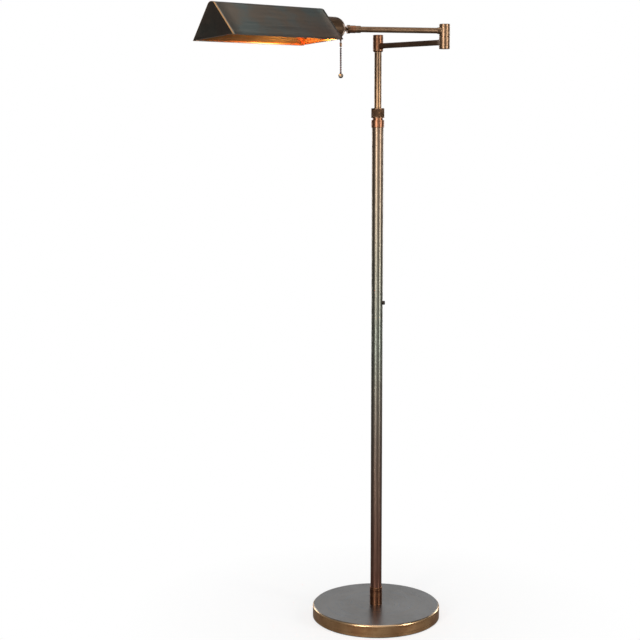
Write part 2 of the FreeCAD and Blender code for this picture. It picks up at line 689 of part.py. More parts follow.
def bulb_cap():
    end = BULB_SEAT + BULB_CAP_L
    return placed(turned([(BULB_SEAT, 0), (BULB_SEAT, 3.0), (BULB_SEAT + 3.0, BULB_CAP_R), (end, BULB_CAP_R),
                          (end, 0)], X), HEAD)


def bulb_glass():
    """A candle-shaped glass envelope, drawn as a smooth curve from the cap to the tip."""
    def outline(inset):
        start = BULB_SEAT + BULB_CAP_L + FIT
        tip = start + BULB_L - inset
        curve = Part.BSplineCurve()
        curve.interpolate([V(start, 0, BULB_CAP_R - 0.5 - inset),
                           V(start + BULB_L * 0.16, 0, BULB_R * 0.66 - inset),
                           V(start + BULB_L * 0.40, 0, BULB_R - inset),
                           V(start + BULB_L * 0.68, 0, BULB_R * 0.70 - inset),
                           V(tip, 0, 0.6)])
        edges = [curve.toShape(), Part.makeLine(V(tip, 0, 0.6), V(tip, 0, 0)),
                 Part.makeLine(V(tip, 0, 0), V(start, 0, 0)),
                 Part.makeLine(V(start, 0, 0), V(start, 0, BULB_CAP_R - 0.5 - inset))]
        return Part.Face(Part.Wire(edges)).revolve(V(0, 0, 0), X, 360)
    return placed(outline(0.0).cut(outline(BULB_GLASS_T)), HEAD)


# ---- Shade. In the head's frame the rim is below the axis and Y runs across ---------------------

def shade_section(inset, floor):
    """The shade's rounded-V section, inset from the outside and closed by a flat floor above the rim."""
    half_w = SHADE_W / 2
    centre_h = SHADE_H - SHADE_RIDGE_R
    slope = math.atan2(centre_h, half_w) + math.asin(SHADE_RIDGE_R / math.hypot(half_w, centre_h))
    radius = SHADE_RIDGE_R - inset
    touch_y = radius * math.sin(slope)
    touch_h = centre_h + radius * math.cos(slope)
    foot_y = touch_y + (touch_h - floor) / math.tan(slope)

    def point(y, h):
        return V(SHADE_START, y, h - RIM_BELOW_AXIS)

    left_foot, left_touch = point(-foot_y, floor), point(-touch_y, touch_h)
    right_foot, right_touch = point(foot_y, floor), point(touch_y, touch_h)
    edges = [Part.makeLine(left_foot, left_touch),
             Part.Arc(left_touch, point(0, centre_h + radius), right_touch).toShape(),
             Part.makeLine(right_touch, right_foot), Part.makeLine(right_foot, left_foot)]
    return Part.Face(Part.Wire(edges))


def shade_canopy():
    outer = shade_section(0.0, 0.0).extrude(V(SHADE_L, 0, 0))
    inner = shade_section(SHADE_SHEET, SHADE_SHEET).extrude(V(SHADE_L + 2, 0, 0))
    inner.translate(V(-1, 0, 0))
    open_w = SHADE_W - 2 * SHADE_LIP
    opening = Part.makeBox(SHADE_L + 2, open_w, 3, V(SHADE_START - 1, -open_w / 2, -RIM_BELOW_AXIS - 1))
    return placed(outer.cut(inner).cut(opening), HEAD)


def shade_plate(start):
    """An end plate that fits inside the canopy, on top of its lips."""
    plate = shade_section(SHADE_SHEET + FIT, SHADE_SHEET + FIT).extrude(V(SHADE_SHEET, 0, 0))
    plate.translate(V(start - SHADE_START, 0, 0))
    return plate


def shade_inner_end():
    hole = rod(HOLDER_R + LOOSE, SHADE_START - 1, SHADE_START + 3, X)
    return placed(shade_plate(SHADE_START).cut(hole), HEAD)


def shade_free_end():
    return placed(shade_plate(SHADE_END - SHADE_SHEET), HEAD)


# ---- Pull switch. It hangs straight down below the cup ------------------------------------------

def pull_rod():
    top = -CHAIN_GUIDE_TOP - 0.5
    head = Part.makeCylinder(ROD_HEAD_R, ROD_HEAD_T, V(CHAIN_X, 0, top - ROD_HEAD_T))
    shank = Part.makeCylinder(ROD_R, ROD_BOTTOM + top, V(CHAIN_X, 0, -ROD_BOTTOM))
    return placed(head.fuse(shank), HEAD)


def chain_top():
    """The place below the cup where the coupler starts, on the pull rod's end."""
    return HEAD.multVec(V(CHAIN_X, 0, -COUPLER_TOP))


def hang(shape):
    """A shape built downwards from the origin, hung from the pull rod's end."""
    return placed(shape, FreeCAD.Placement(chain_top(), FreeCAD.Rotation()))


def chain_coupler():
    """The coupler barrel. Both ends are cones, so that it and the chain below it can swing."""
    bottom = -(COUPLER_BOTTOM - COUPLER_TOP)
    cone = COUPLER_R - COUPLER_TIP_R
    return hang(turned([(0, 0), (0, COUPLER_TIP_R), (-cone, COUPLER_R), (bottom + cone, COUPLER_R),
                        (bottom, COUPLER_TIP_R), (bottom, 0)]))


def pull_chain():
    """Round beads on a short wire link, from the coupler to the ball."""
    count = int((CHAIN_TOP_Z - CHAIN_END_Z - 2 * BEAD_R) / BEAD_PITCH) + 1
    spare = (CHAIN_TOP_Z - CHAIN_END_Z - 2 * BEAD_R) - (count - 1) * BEAD_PITCH
    pitch = BEAD_PITCH + spare / (count - 1)
    chain = Part.makeCylinder(LINK_R, CHAIN_TOP_Z - CHAIN_END_Z - 2 * BEAD_R, V(0, 0, CHAIN_END_Z + BEAD_R))
    beads = [ball(BEAD_R, V(0, 0, CHAIN_TOP_Z - BEAD_R - i * pitch)) for i in range(count)]
    return hang(chain.fuse(beads))


def pull_ball():
    centre = CHAIN_END_Z - PULL_BALL_R
    flat = Part.makeCylinder(PULL_BALL_R, PULL_BALL_R, V(0, 0, CHAIN_END_Z - SEAM))
    return hang(ball(PULL_BALL_R, V(0, 0, centre)).cut(flat))


PIECES = [
    base_pad, base_plate, base_cover, base_weight, base_nipple, base_washer, base_nut, cord_grommet,
    pole_ferrule, pole_foot_plug, pole_lower, pole_coupling, pole_upper, pole_screw, pole_cord,
    collar_body, collet, lock_collar, stem, stem_guide,
    pivot_spindle, pivot_thrust_washer, pivot_nut, pivot_barrel, pivot_cap,
    lower_arm_tube, elbow_lower_knuckle, elbow_spindle, elbow_bottom_cap, elbow_thrust_washer, elbow_nut,
    elbow_upper_knuckle, elbow_top_cap, upper_arm_tube, arm_ferrule, swivel_housing, swivel_retainer,
    swivel_seat, swivel_ball, stud_nut,
    cup_boss, socket_cup, cup_screw, switch_body, lampholder_body, lampholder_shell, lampholder_contact,
    shade_ring, chain_guide, bulb_cap, bulb_glass, shade_canopy, shade_inner_end, shade_free_end,
    pull_rod, chain_coupler, pull_chain, pull_ball,
]

os.makedirs("parts", exist_ok=True)
for piece in PIECES:
    piece().exportStep("parts/" + piece.__name__ + ".step")
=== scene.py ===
"""Looks of a swing-arm pharmacy floor lamp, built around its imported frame. Metres, +Z up."""

import json
import logging
import math
from dataclasses import dataclass, field
from enum import Enum

import bpy
from mathutils import Matrix, Vector


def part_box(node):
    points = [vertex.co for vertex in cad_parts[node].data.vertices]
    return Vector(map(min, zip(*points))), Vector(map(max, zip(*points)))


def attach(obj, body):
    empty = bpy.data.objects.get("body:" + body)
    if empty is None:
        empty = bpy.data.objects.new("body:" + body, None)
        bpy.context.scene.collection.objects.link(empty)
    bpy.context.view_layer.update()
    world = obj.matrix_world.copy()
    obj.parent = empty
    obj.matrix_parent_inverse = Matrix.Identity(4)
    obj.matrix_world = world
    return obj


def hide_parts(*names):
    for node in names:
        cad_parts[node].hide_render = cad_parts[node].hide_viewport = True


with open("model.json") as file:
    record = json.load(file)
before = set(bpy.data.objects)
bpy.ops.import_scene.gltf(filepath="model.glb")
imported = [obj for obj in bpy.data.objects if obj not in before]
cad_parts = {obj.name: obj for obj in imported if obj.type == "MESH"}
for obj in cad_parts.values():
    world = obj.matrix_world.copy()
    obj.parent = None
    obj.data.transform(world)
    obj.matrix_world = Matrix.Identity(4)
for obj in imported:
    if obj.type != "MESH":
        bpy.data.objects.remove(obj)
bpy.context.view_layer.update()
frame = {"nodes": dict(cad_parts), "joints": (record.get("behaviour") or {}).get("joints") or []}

MM = 0.001
LOG = logging.getLogger("lamp")
Colour = tuple[float, float, float, float]
Outline = list[tuple[float, float]]


# ---- Places read from the frame -----------------------------------------------------------------

def joint_place(name: str) -> Vector:
    """Finds where a joint's axis stands.

    Args:
        name: The joint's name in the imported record.

    Returns:
        The joint's position in the row frame, in metres.
    """
    return Vector(next(joint for joint in frame["joints"] if joint["name"] == name)["pos_m"])


def box_centre(node: str) -> Vector:
    """Finds the middle of a CAD node's box.

    Args:
        node: The CAD node's name.

    Returns:
        The middle of the node's box, in metres.
    """
    low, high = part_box(node)
    return (low + high) / 2


def head_place() -> Matrix:
    """Gives the shade's own frame: X runs to its free end, Z is up, and the ball is at 0.

    Returns:
        The move from the shade's frame to the row frame.
    """
    turn = Matrix.Rotation(math.pi, 4, "Z") @ Matrix.Rotation(math.radians(SHADE_ROLL_DEG), 4, "X")
    return Matrix.Translation(joint_place("swivel_tilt")) @ turn


SHADE_ROLL_DEG = 4.0
LOWER_ARM_DEG = -95.0
UPPER_ARM_DEG = 153.5


# ---- Mesh tools ---------------------------------------------------------------------------------

def deselect_all() -> None:
    """Leaves nothing selected and nothing active."""
    for item in list(bpy.context.selected_objects):
        item.select_set(False)
    bpy.context.view_layer.objects.active = None


def pick(piece: bpy.types.Object) -> None:
    """Selects one piece alone and makes it the active one.

    Args:
        piece: The piece to select.
    """
    deselect_all()
    piece.select_set(True)
    bpy.context.view_layer.objects.active = piece


def edit(piece: bpy.types.Object, select: str = "SELECT") -> None:
    """Opens one piece in edit mode.

    Args:
        piece: The piece to open.
        select: SELECT to start with all of it selected, DESELECT for none.
    """
    pick(piece)
    bpy.ops.object.mode_set(mode="EDIT")
    bpy.ops.mesh.select_all(action=select)


def edit_kept(piece: bpy.types.Object) -> None:
    """Opens a piece in edit mode with the selection that its mesh already has.

    Args:
        piece: The piece to open.
    """
    pick(piece)
    bpy.ops.object.mode_set(mode="EDIT")


def close_edit() -> None:
    """Goes back to object mode."""
    bpy.ops.object.mode_set(mode="OBJECT")


def start_vertex(name: str, place: Vector) -> bpy.types.Object:
    """Starts a piece as one selected vertex in edit mode.

    Args:
        name: The new piece's name.
        place: Where its vertex stands.

    Returns:
        The new piece.
    """
    deselect_all()
    bpy.ops.mesh.primitive_plane_add(size=MM)
    piece = bpy.context.active_object
    piece.name = piece.data.name = name
    edit(piece)
    bpy.ops.mesh.merge(type="CENTER")
    bpy.ops.mesh.select_mode(type="VERT")
    bpy.ops.mesh.select_all(action="SELECT")
    bpy.ops.transform.translate(value=place)
    return piece


def draw_line(points: list[Vector]) -> None:
    """Extrudes the selected vertex along a line of points.

    Args:
        points: The line, whose first point is where the vertex stands.
    """
    for here, there in zip(points, points[1:]):
        bpy.ops.mesh.extrude_vertices_move(TRANSFORM_OT_translate={"value": there - here})


def tidy_shell() -> None:
    """Merges doubles and turns all normals outwards, in edit mode."""
    bpy.ops.mesh.select_all(action="SELECT")
    bpy.ops.mesh.remove_doubles(threshold=0.001 * MM)
    bpy.ops.mesh.normals_make_consistent(inside=False)


def apply_modifier(piece: bpy.types.Object, kind: str, **settings: object) -> None:
    """Adds a modifier to a piece and applies it.

    Args:
        piece: The piece to change.
        kind: The modifier's type.
        settings: The modifier's own settings.
    """
    pick(piece)
    modifier = piece.modifiers.new(kind.lower(), kind)
    for key, value in settings.items():
        setattr(modifier, key, value)
    bpy.ops.object.modifier_apply(modifier=modifier.name)


def cut_with_active(piece: bpy.types.Object) -> None:
    """Cuts the active object out of a piece and removes it.

    Args:
        piece: The piece to cut.
    """
    cutter = bpy.context.active_object
    bpy.ops.object.transform_apply(location=True, rotation=True, scale=True)
    apply_modifier(piece, "BOOLEAN", object=cutter, operation="DIFFERENCE", solver="EXACT")
    bpy.data.objects.remove(cutter)


def cut_slot(piece: bpy.types.Object, size: tuple[float, float, float], top: float) -> None:
    """Cuts a straight slot across the top of a piece built about Z.

    Args:
        piece: The piece to cut.
        size: The cutter's length, width and height.
        top: The height of the piece's top, where the cutter's middle lies.
    """
    deselect_all()
    bpy.ops.mesh.primitive_cube_add(size=1.0, location=(0, 0, top), scale=size)
    cut_with_active(piece)


def cut_bore(piece: bpy.types.Object, radius: float, height: float) -> None:
    """Cuts a round hole along Z through a piece.

    Args:
        piece: The piece to cut.
        radius: The hole's radius.
        height: The piece's height, which the cutter passes at both ends.
    """
    deselect_all()
    bpy.ops.mesh.primitive_cylinder_add(vertices=72, radius=radius, depth=3 * height,
                                        location=(0, 0, height / 2))
    cut_with_active(piece)


def finish_piece(piece: bpy.types.Object, place: Matrix, smooth_deg: float = 35.0) -> bpy.types.Object:
    """Smooths a piece and moves its mesh to its place, with its object left at the origin.

    Args:
        piece: The piece to finish.
        place: The move from the piece's own frame to the row frame.
        smooth_deg: Edges sharper than this stay sharp.

    Returns:
        The same piece.
    """
    pick(piece)
    bpy.ops.object.shade_smooth_by_angle(angle=math.radians(smooth_deg))
    piece.matrix_world = place @ piece.matrix_world
    bpy.ops.object.transform_apply(location=True, rotation=True, scale=True)
    return piece


def turn_piece(name: str, outline: Outline, place: Matrix, sides: int) -> bpy.types.Object:
    """Turns an outline about its own Z axis into a closed piece.

    Args:
        name: The new piece's name.
        outline: The outline as (radius, height) points, from one end of the axis to the other, or a loop.
        place: The move from the piece's own frame to the row frame.
        sides: How many steps the turn has.

    Returns:
        The finished piece.
    """
    points = [Vector((radius, 0, height)) for radius, height in outline]
    piece = start_vertex(name, points[0])
    draw_line(points)
    bpy.ops.mesh.select_all(action="SELECT")
    bpy.ops.mesh.spin(steps=sides, dupli=False, angle=math.tau, center=(0, 0, 0), axis=(0, 0, 1))
    tidy_shell()
    close_edit()
    return finish_piece(piece, place)


def arc(centre: tuple[float, float], radius: float, start_deg: float, end_deg: float,
        steps: int) -> Outline:
    """Gives points on an arc.

    Args:
        centre: The arc's centre.
        radius: Its radius.
        start_deg: The angle of its first point.
        end_deg: The angle of its last point.
        steps: How many runs it has.

    Returns:
        The arc's points, one more than its runs.
    """
    angles = [math.radians(start_deg + (end_deg - start_deg) * step / steps) for step in range(steps + 1)]
    return [(centre[0] + radius * math.cos(a), centre[1] + radius * math.sin(a)) for a in angles]


def groove(radius: float, start: float, end: float, depth: float, slope: float) -> Outline:
    """Gives the four points of a groove in a turned wall, or of a ridge on it.

    Args:
        radius: The wall's radius.
        start: The height where the groove begins.
        end: The height where it ends.
        depth: Its depth, or a value below 0 for a ridge.
        slope: The height that each of its sides takes.

    Returns:
        The groove's points, in the order of its height.
    """
    floor = radius - depth
    return [(radius, start), (floor, start + slope), (floor, end - slope), (radius, end)]


def along_x(place: Matrix) -> Matrix:
    """Turns a piece built about Z so that its axis lies along X.

    Args:
        place: The frame whose X the axis follows.

    Returns:
        The move from the piece's own frame.
    """
    return place @ Matrix.Rotation(math.pi / 2, 4, "Y")


# ---- Node tools ---------------------------------------------------------------------------------

class Sheet:
    """A node tree that is being filled in."""

    def __init__(self, tree: bpy.types.NodeTree) -> None:
        """Takes the tree to fill.

        Args:
            tree: The material's or the group's tree.
        """
        self.tree = tree

    def add(self, kind: str, inputs: dict, **settings: object) -> bpy.types.Node:
        """Adds a node, with its sockets set or joined.

        Args:
            kind: The node's type.
            inputs: Values for its input sockets, or output sockets to join to them.
            settings: The node's own settings.

        Returns:
            The new node.
        """
        node = self.tree.nodes.new(kind)
        for key, value in settings.items():
            setattr(node, key, value)
        for key, value in inputs.items():
            if isinstance(value, bpy.types.NodeSocket):
                self.tree.links.new(value, node.inputs[key])
            else:
                node.inputs[key].default_value = value
        return node

    def noise(self, vector: bpy.types.NodeSocket, scale: object, detail: float = 4.0) -> bpy.types.NodeSocket:
        """Adds a noise pattern.

        Args:
            vector: The coordinates that it reads.
            scale: Its scale, or a socket that gives it.
            detail: How many finer layers it has.

        Returns:
            The noise's value.
        """
        return self.add("ShaderNodeTexNoise", {"Vector": vector, "Scale": scale, "Detail": detail}).outputs[0]

    def maths(self, operation: str, first: object, second: object = 0.0) -> bpy.types.NodeSocket:
        """Adds one sum on two values.

        Args:
            operation: The sum's name.
            first: The first value or socket.
            second: The second value or socket.

        Returns:
            The sum's result.
        """
        return self.add("ShaderNodeMath", {0: first, 1: second}, operation=operation).outputs[0]

    def mapped(self, value: bpy.types.NodeSocket, low: float, high: float, to_low: object = 0.0,
               to_high: object = 1.0) -> bpy.types.NodeSocket:
        """Maps a value's range to another, held at its ends.

        Args:
            value: The value to map.
            low: Where its range begins.
            high: Where its range ends.
            to_low: What low becomes.
            to_high: What high becomes.

        Returns:
            The mapped value.
        """
        node = self.add("ShaderNodeMapRange", {"Value": value, "From Min": low, "From Max": high,
                                               "To Min": to_low, "To Max": to_high})
        return node.outputs[0]

    def mixed(self, share: object, first: object, second: object) -> bpy.types.NodeSocket:
        """Mixes two colours.

        Args:
            share: The second colour's share.
            first: The first colour.
            second: The second colour.

        Returns:
            The mixed colour.
        """
        return self.add("ShaderNodeMix", {0: share, 6: first, 7: second}, data_type="RGBA").outputs[2]


def open_group(name: str, inputs: dict[str, str], outputs: dict[str, str]) -> tuple[Sheet, dict, dict]:
    """Starts a shader node group.

    Args:
        name: The group's name.
        inputs: Its input sockets' names and types.
        outputs: Its output sockets' names and types.

    Returns:
        The group's sheet, its inputs to read from, and its outputs to join to.
    """
    tree = bpy.data.node_groups.new(name, "ShaderNodeTree")
    for socket, kind in inputs.items():
        tree.interface.new_socket(name=socket, in_out="INPUT", socket_type=kind)
    for socket, kind in outputs.items():
        tree.interface.new_socket(name=socket, in_out="OUTPUT", socket_type=kind)
    source = tree.nodes.new("NodeGroupInput")
    sink = tree.nodes.new("NodeGroupOutput")
    return Sheet(tree), source.outputs, sink.inputs


FLOAT, VECTOR = "NodeSocketFloat", "NodeSocketVector"

# Ranges of a value that are spread over 0 to 1. Noise keeps near 0.5, so its ends are cut off.
NOISE_SOFT = (0.3, 0.7)
NOISE_FIRM = (0.35, 0.65)
STREAK_RANGE = (0.32, 0.68)
EDGE_RANGE = (0.035, 0.15)
UPWARD_RANGE = (0.55, 0.98)

FINE_SHARE, BROAD_SHARE = 0.6, 0.4
LINES_BROAD_SCALE, RINGS_BROAD_SCALE = 0.22, 0.2
RING_DRIFT = 0.0016
PATCH_SHARE, BLOTCH_SHARE, BLOTCH_SCALE = 0.72, 0.28, 5.3
EDGE_SAMPLES = 4
HANDLING_SCALE, SPECK_SCALE = 160.0, 900.0


def add_streaks(sheet: Sheet, place: bpy.types.NodeSocket, scale: bpy.types.NodeSocket,
                broad_scale: float) -> bpy.types.NodeSocket:
    """Mixes a fine and a broad noise into one streak value.

    Args:
        sheet: The group's sheet.
        place: The stretched coordinates.
        scale: The fine noise's scale.
        broad_scale: The broad noise's scale, as a share of the fine one's.

    Returns:
        The streak value.
    """
    fine = sheet.noise(place, scale, 3.0)
    broad = sheet.noise(place, sheet.maths("MULTIPLY", scale, broad_scale), 2.0)
    both = sheet.maths("ADD", sheet.maths("MULTIPLY", fine, FINE_SHARE),
                       sheet.maths("MULTIPLY", broad, BROAD_SHARE))
    return sheet.mapped(both, *STREAK_RANGE)


def make_brushed_lines() -> bpy.types.NodeTree:
    """Builds the group for straight brushed lines, which puts out a streak value.

    Returns:
        The group.
    """
    sheet, given, out = open_group("brushed_lines", {"Vector": VECTOR, "Stretch": VECTOR, "Scale": FLOAT},
                                   {"Streak": FLOAT})
    place = sheet.add("ShaderNodeVectorMath", {0: given["Vector"], 1: given["Stretch"]},
                      operation="MULTIPLY").outputs[0]
    streak = add_streaks(sheet, place, given["Scale"], LINES_BROAD_SCALE)
    sheet.tree.links.new(streak, out["Streak"])
    return sheet.tree


def make_brushed_rings() -> bpy.types.NodeTree:
    """Builds the group for brushed rings about Z, which puts out a streak value.

    Returns:
        The group.
    """
    sheet, given, out = open_group("brushed_rings", {"Vector": VECTOR, "Scale": FLOAT}, {"Streak": FLOAT})
    parts = sheet.add("ShaderNodeSeparateXYZ", {"Vector": given["Vector"]}).outputs
    reach = sheet.maths("SQRT", sheet.maths("ADD", sheet.maths("POWER", parts["X"], 2.0),
                                            sheet.maths("POWER", parts["Y"], 2.0)))
    turn = sheet.maths("ARCTAN2", parts["Y"], parts["X"])
    slow = sheet.maths("MULTIPLY", sheet.maths("ABSOLUTE", turn), RING_DRIFT)
    place = sheet.add("ShaderNodeCombineXYZ", {"X": reach, "Y": slow, "Z": parts["Z"]}).outputs[0]
    streak = add_streaks(sheet, place, given["Scale"], RINGS_BROAD_SCALE)
    sheet.tree.links.new(streak, out["Streak"])
    return sheet.tree


def make_aged_patches() -> bpy.types.NodeTree:
    """Builds the group for soft patches of patina, which puts out a mask.

    Returns:
        The group.
    """
    sheet, given, out = open_group("aged_patches", {"Vector": VECTOR, "Scale": FLOAT, "Spread": FLOAT},
                                   {"Mask": FLOAT})
    large = sheet.noise(given["Vector"], given["Scale"], 5.0)
    small = sheet.noise(given["Vector"], sheet.maths("MULTIPLY", given["Scale"], BLOTCH_SCALE), 3.0)
    both = sheet.maths("ADD", sheet.maths("MULTIPLY", large, PATCH_SHARE),
                       sheet.maths("MULTIPLY", small, BLOTCH_SHARE))
    low = sheet.maths("SUBTRACT", 0.5, given["Spread"])
    high = sheet.maths("ADD", 0.5, given["Spread"])
    node = sheet.add("ShaderNodeMapRange", {"Value": both, "From Min": low, "From Max": high})
    sheet.tree.links.new(node.outputs[0], out["Mask"])
    return sheet.tree


def make_worn_edges() -> bpy.types.NodeTree:
    """Builds the group that finds sharp edges, broken up as by handling, and puts out a mask.

    Returns:
        The group.
    """
    sheet, given, out = open_group("worn_edges", {"Vector": VECTOR, "Width": FLOAT, "Amount": FLOAT},
                                   {"Mask": FLOAT})
    rounded = sheet.add("ShaderNodeBevel", {"Radius": given["Width"]}, samples=EDGE_SAMPLES).outputs[0]
    flat = sheet.add("ShaderNodeNewGeometry", {}).outputs["Normal"]
    match = sheet.add("ShaderNodeVectorMath", {0: rounded, 1: flat}, operation="DOT_PRODUCT").outputs["Value"]
    edge = sheet.mapped(sheet.maths("SUBTRACT", 1.0, match), *EDGE_RANGE)
    broken = sheet.mapped(sheet.noise(given["Vector"], HANDLING_SCALE), 0.36, 0.56, 0.35, 1.0)
    mask = sheet.maths("MULTIPLY", sheet.maths("MULTIPLY", edge, broken), given["Amount"])
    sheet.tree.links.new(mask, out["Mask"])
    return sheet.tree


def make_settled_dust() -> bpy.types.NodeTree:
    """Builds the group for fine dust on faces that look up, which puts out a mask.

    Returns:
        The group.
    """
    sheet, given, out = open_group("settled_dust", {"Vector": VECTOR, "Amount": FLOAT}, {"Mask": FLOAT})
    normal = sheet.add("ShaderNodeNewGeometry", {}).outputs["Normal"]
    rise = sheet.add("ShaderNodeSeparateXYZ", {"Vector": normal}).outputs["Z"]
    up = sheet.mapped(rise, *UPWARD_RANGE)
    specks = sheet.mapped(sheet.noise(given["Vector"], SPECK_SCALE), 0.45, 0.75, 0.2, 1.0)
    mask = sheet.maths("MULTIPLY", sheet.maths("MULTIPLY", up, specks), given["Amount"])
    sheet.tree.links.new(mask, out["Mask"])
    return sheet.tree


class Effects:
    """The shared node groups, each built once."""

    lines: bpy.types.NodeTree
    rings: bpy.types.NodeTree
    patches: bpy.types.NodeTree
    edges: bpy.types.NodeTree
    dust: bpy.types.NodeTree

    @classmethod
    def build(cls) -> None:
        """Builds every group."""
        cls.lines = make_brushed_lines()
        cls.rings = make_brushed_rings()
        cls.patches = make_aged_patches()
        cls.edges = make_worn_edges()
        cls.dust = make_settled_dust()


def open_material(name: str) -> tuple[Sheet, bpy.types.Node, bpy.types.Material]:
    """Starts a material with its Principled shader.

    Args:
        name: The material's name.

    Returns:
        The material's sheet, its shader and the material.
    """
    material = bpy.data.materials.new(name)
    material.use_nodes = True
    return Sheet(material.node_tree), material.node_tree.nodes["Principled BSDF"], material


# ---- Finishes -----------------------------------------------------------------------------------

COPPER_EDGE: Colour = (0.62, 0.34, 0.17, 1.0)
GOLD_EDGE: Colour = (0.66, 0.44, 0.24, 1.0)
DUST: Colour = (0.42, 0.39, 0.35, 1.0)
WHITE: Colour = (1.0, 1.0, 1.0, 1.0)


class Grain(Enum):
    """How a metal surface was brushed."""

    LENGTHWISE = "lines along the piece's own X"
    UPRIGHT = "lines along Z"
    RINGS = "rings about the piece's own Z"
    SATIN = "no direction"


STRETCH = {Grain.LENGTHWISE: (0.03, 1.0, 1.0), Grain.UPRIGHT: (1.0, 1.0, 0.02), Grain.SATIN: (1.0, 1.0, 1.0)}


@dataclass(frozen=True)
class Bronze:
    """A plated and aged metal: patches of dark and light plate, brushed streaks and bright worn edges."""

    name: str
    dark: Colour
    light: Colour
    worn: Colour
    grain: Grain = Grain.SATIN
    grain_scale: float = 900.0
    streak: float = 0.35
    roughness: float = 0.3
    patch_scale: float = 24.0
    patch_spread: float = 0.16
    edge_width: float = 0.6 * MM
    edge_amount: float = 0.8
    dust: float = 0.0
    bump: float = 0.012
    bump_depth: float = 0.05 * MM
    smoother: float = 0.05
    rougher: float = 0.08
    worn_share: float = 0.5
    centre: Vector = field(default_factory=Vector)
    turn_deg: float = 0.0

    def build(self) -> bpy.types.Material:
        """Builds the material.

        Returns:
            The finished material.
        """
        sheet, shader, material = open_material(self.name)
        place = sheet.add("ShaderNodeTexCoord", {}).outputs["Object"]
        moved = sheet.add("ShaderNodeVectorMath", {0: place, 1: self.centre}, operation="SUBTRACT").outputs[0]
        turned = sheet.add("ShaderNodeMapping", {"Vector": moved,
                                                 "Rotation": (0, 0, -math.radians(self.turn_deg))}).outputs[0]
        if self.grain is Grain.RINGS:
            brushed = sheet.add("ShaderNodeGroup", {}, node_tree=Effects.rings)
        else:
            brushed = sheet.add("ShaderNodeGroup", {}, node_tree=Effects.lines)
            brushed.inputs["Stretch"].default_value = STRETCH[self.grain]
        sheet.tree.links.new(turned, brushed.inputs["Vector"])
        brushed.inputs["Scale"].default_value = self.grain_scale
        streak = brushed.outputs["Streak"]
        patches = self.group(sheet, Effects.patches, place, Scale=self.patch_scale, Spread=self.patch_spread)
        edges = self.group(sheet, Effects.edges, place, Width=self.edge_width, Amount=self.edge_amount)
        plate = sheet.mixed(patches, self.dark, self.light)
        plate = self.tinted(sheet, plate, place)
        shaded = sheet.maths("MULTIPLY", streak, self.streak)
        plate = sheet.mixed(shaded, plate, sheet.mixed(self.worn_share, plate, self.worn))
        plate = sheet.mixed(edges, plate, self.worn)
        if self.dust:
            dust = self.group(sheet, Effects.dust, place, Amount=self.dust)
            plate = sheet.mixed(dust, plate, DUST)
        sheet.tree.links.new(plate, shader.inputs["Base Color"])
        rough = sheet.mapped(streak, 0.0, 1.0, self.roughness - self.smoother,
                             self.roughness + self.rougher)
        sheet.tree.links.new(rough, shader.inputs["Roughness"])
        bump = sheet.add("ShaderNodeBump", {"Strength": self.bump, "Distance": self.bump_depth,
                                            "Height": streak})
        sheet.tree.links.new(bump.outputs[0], shader.inputs["Normal"])
        shader.inputs["Metallic"].default_value = 1.0
        return material

    def group(self, sheet: Sheet, tree: bpy.types.NodeTree, place: bpy.types.NodeSocket,
              **values: float) -> bpy.types.NodeSocket:
        """Places a shared effect and gives its mask.

        Args:
            sheet: The material's sheet.
            tree: The effect's group.
            place: The pattern's coordinates.
            values: The group's own inputs.

        Returns:
            The effect's mask.
        """
        node = sheet.add("ShaderNodeGroup", {}, node_tree=tree)
        sheet.tree.links.new(place, node.inputs["Vector"])
        for key, value in values.items():
            node.inputs[key].default_value = value
        return node.outputs["Mask"]

    def tinted(self, sheet: Sheet, plate: bpy.types.NodeSocket,
               place: bpy.types.NodeSocket) -> bpy.types.NodeSocket:
        """Leaves the plate's colour as it is. A finish whose tone changes along the piece overrides it.

        Args:
            sheet: The material's sheet.
            plate: The plate's colour so far.
            place: The piece's own coordinates.

        Returns:
            The same colour.
        """
        return plate


@dataclass(frozen=True)
class PoleBronze(Bronze):
    """A plate with a tone for its foot, its middle and its top, each reached at a height above the floor."""

    foot: Colour = (0.27, 0.07, 0.038, 1.0)
    middle: Colour = (0.152, 0.186, 0.155, 1.0)
    top: Colour = (0.2, 0.12, 0.07, 1.0)
    middle_at: float = 0.53
    top_from: float = 0.58
    top_at: float = 0.97
    tone_share: float = 0.65

    def tinted(self, sheet: Sheet, plate: bpy.types.NodeSocket,
               place: bpy.types.NodeSocket) -> bpy.types.NodeSocket:
        """Colours the plate by its height.

        Args:
            sheet: The material's sheet.
            plate: The plate's colour so far.
            place: The piece's own coordinates.

        Returns:
            The plate's colour with its tone along the pole.
        """
        height = sheet.add("ShaderNodeSeparateXYZ", {"Vector": place}).outputs["Z"]
        low = sheet.mixed(sheet.mapped(height, 0.0, self.middle_at), self.foot, self.middle)
        tone = sheet.mixed(sheet.mapped(height, self.top_from, self.top_at), low, self.top)
        return sheet.mixed(self.tone_share, plate, tone)


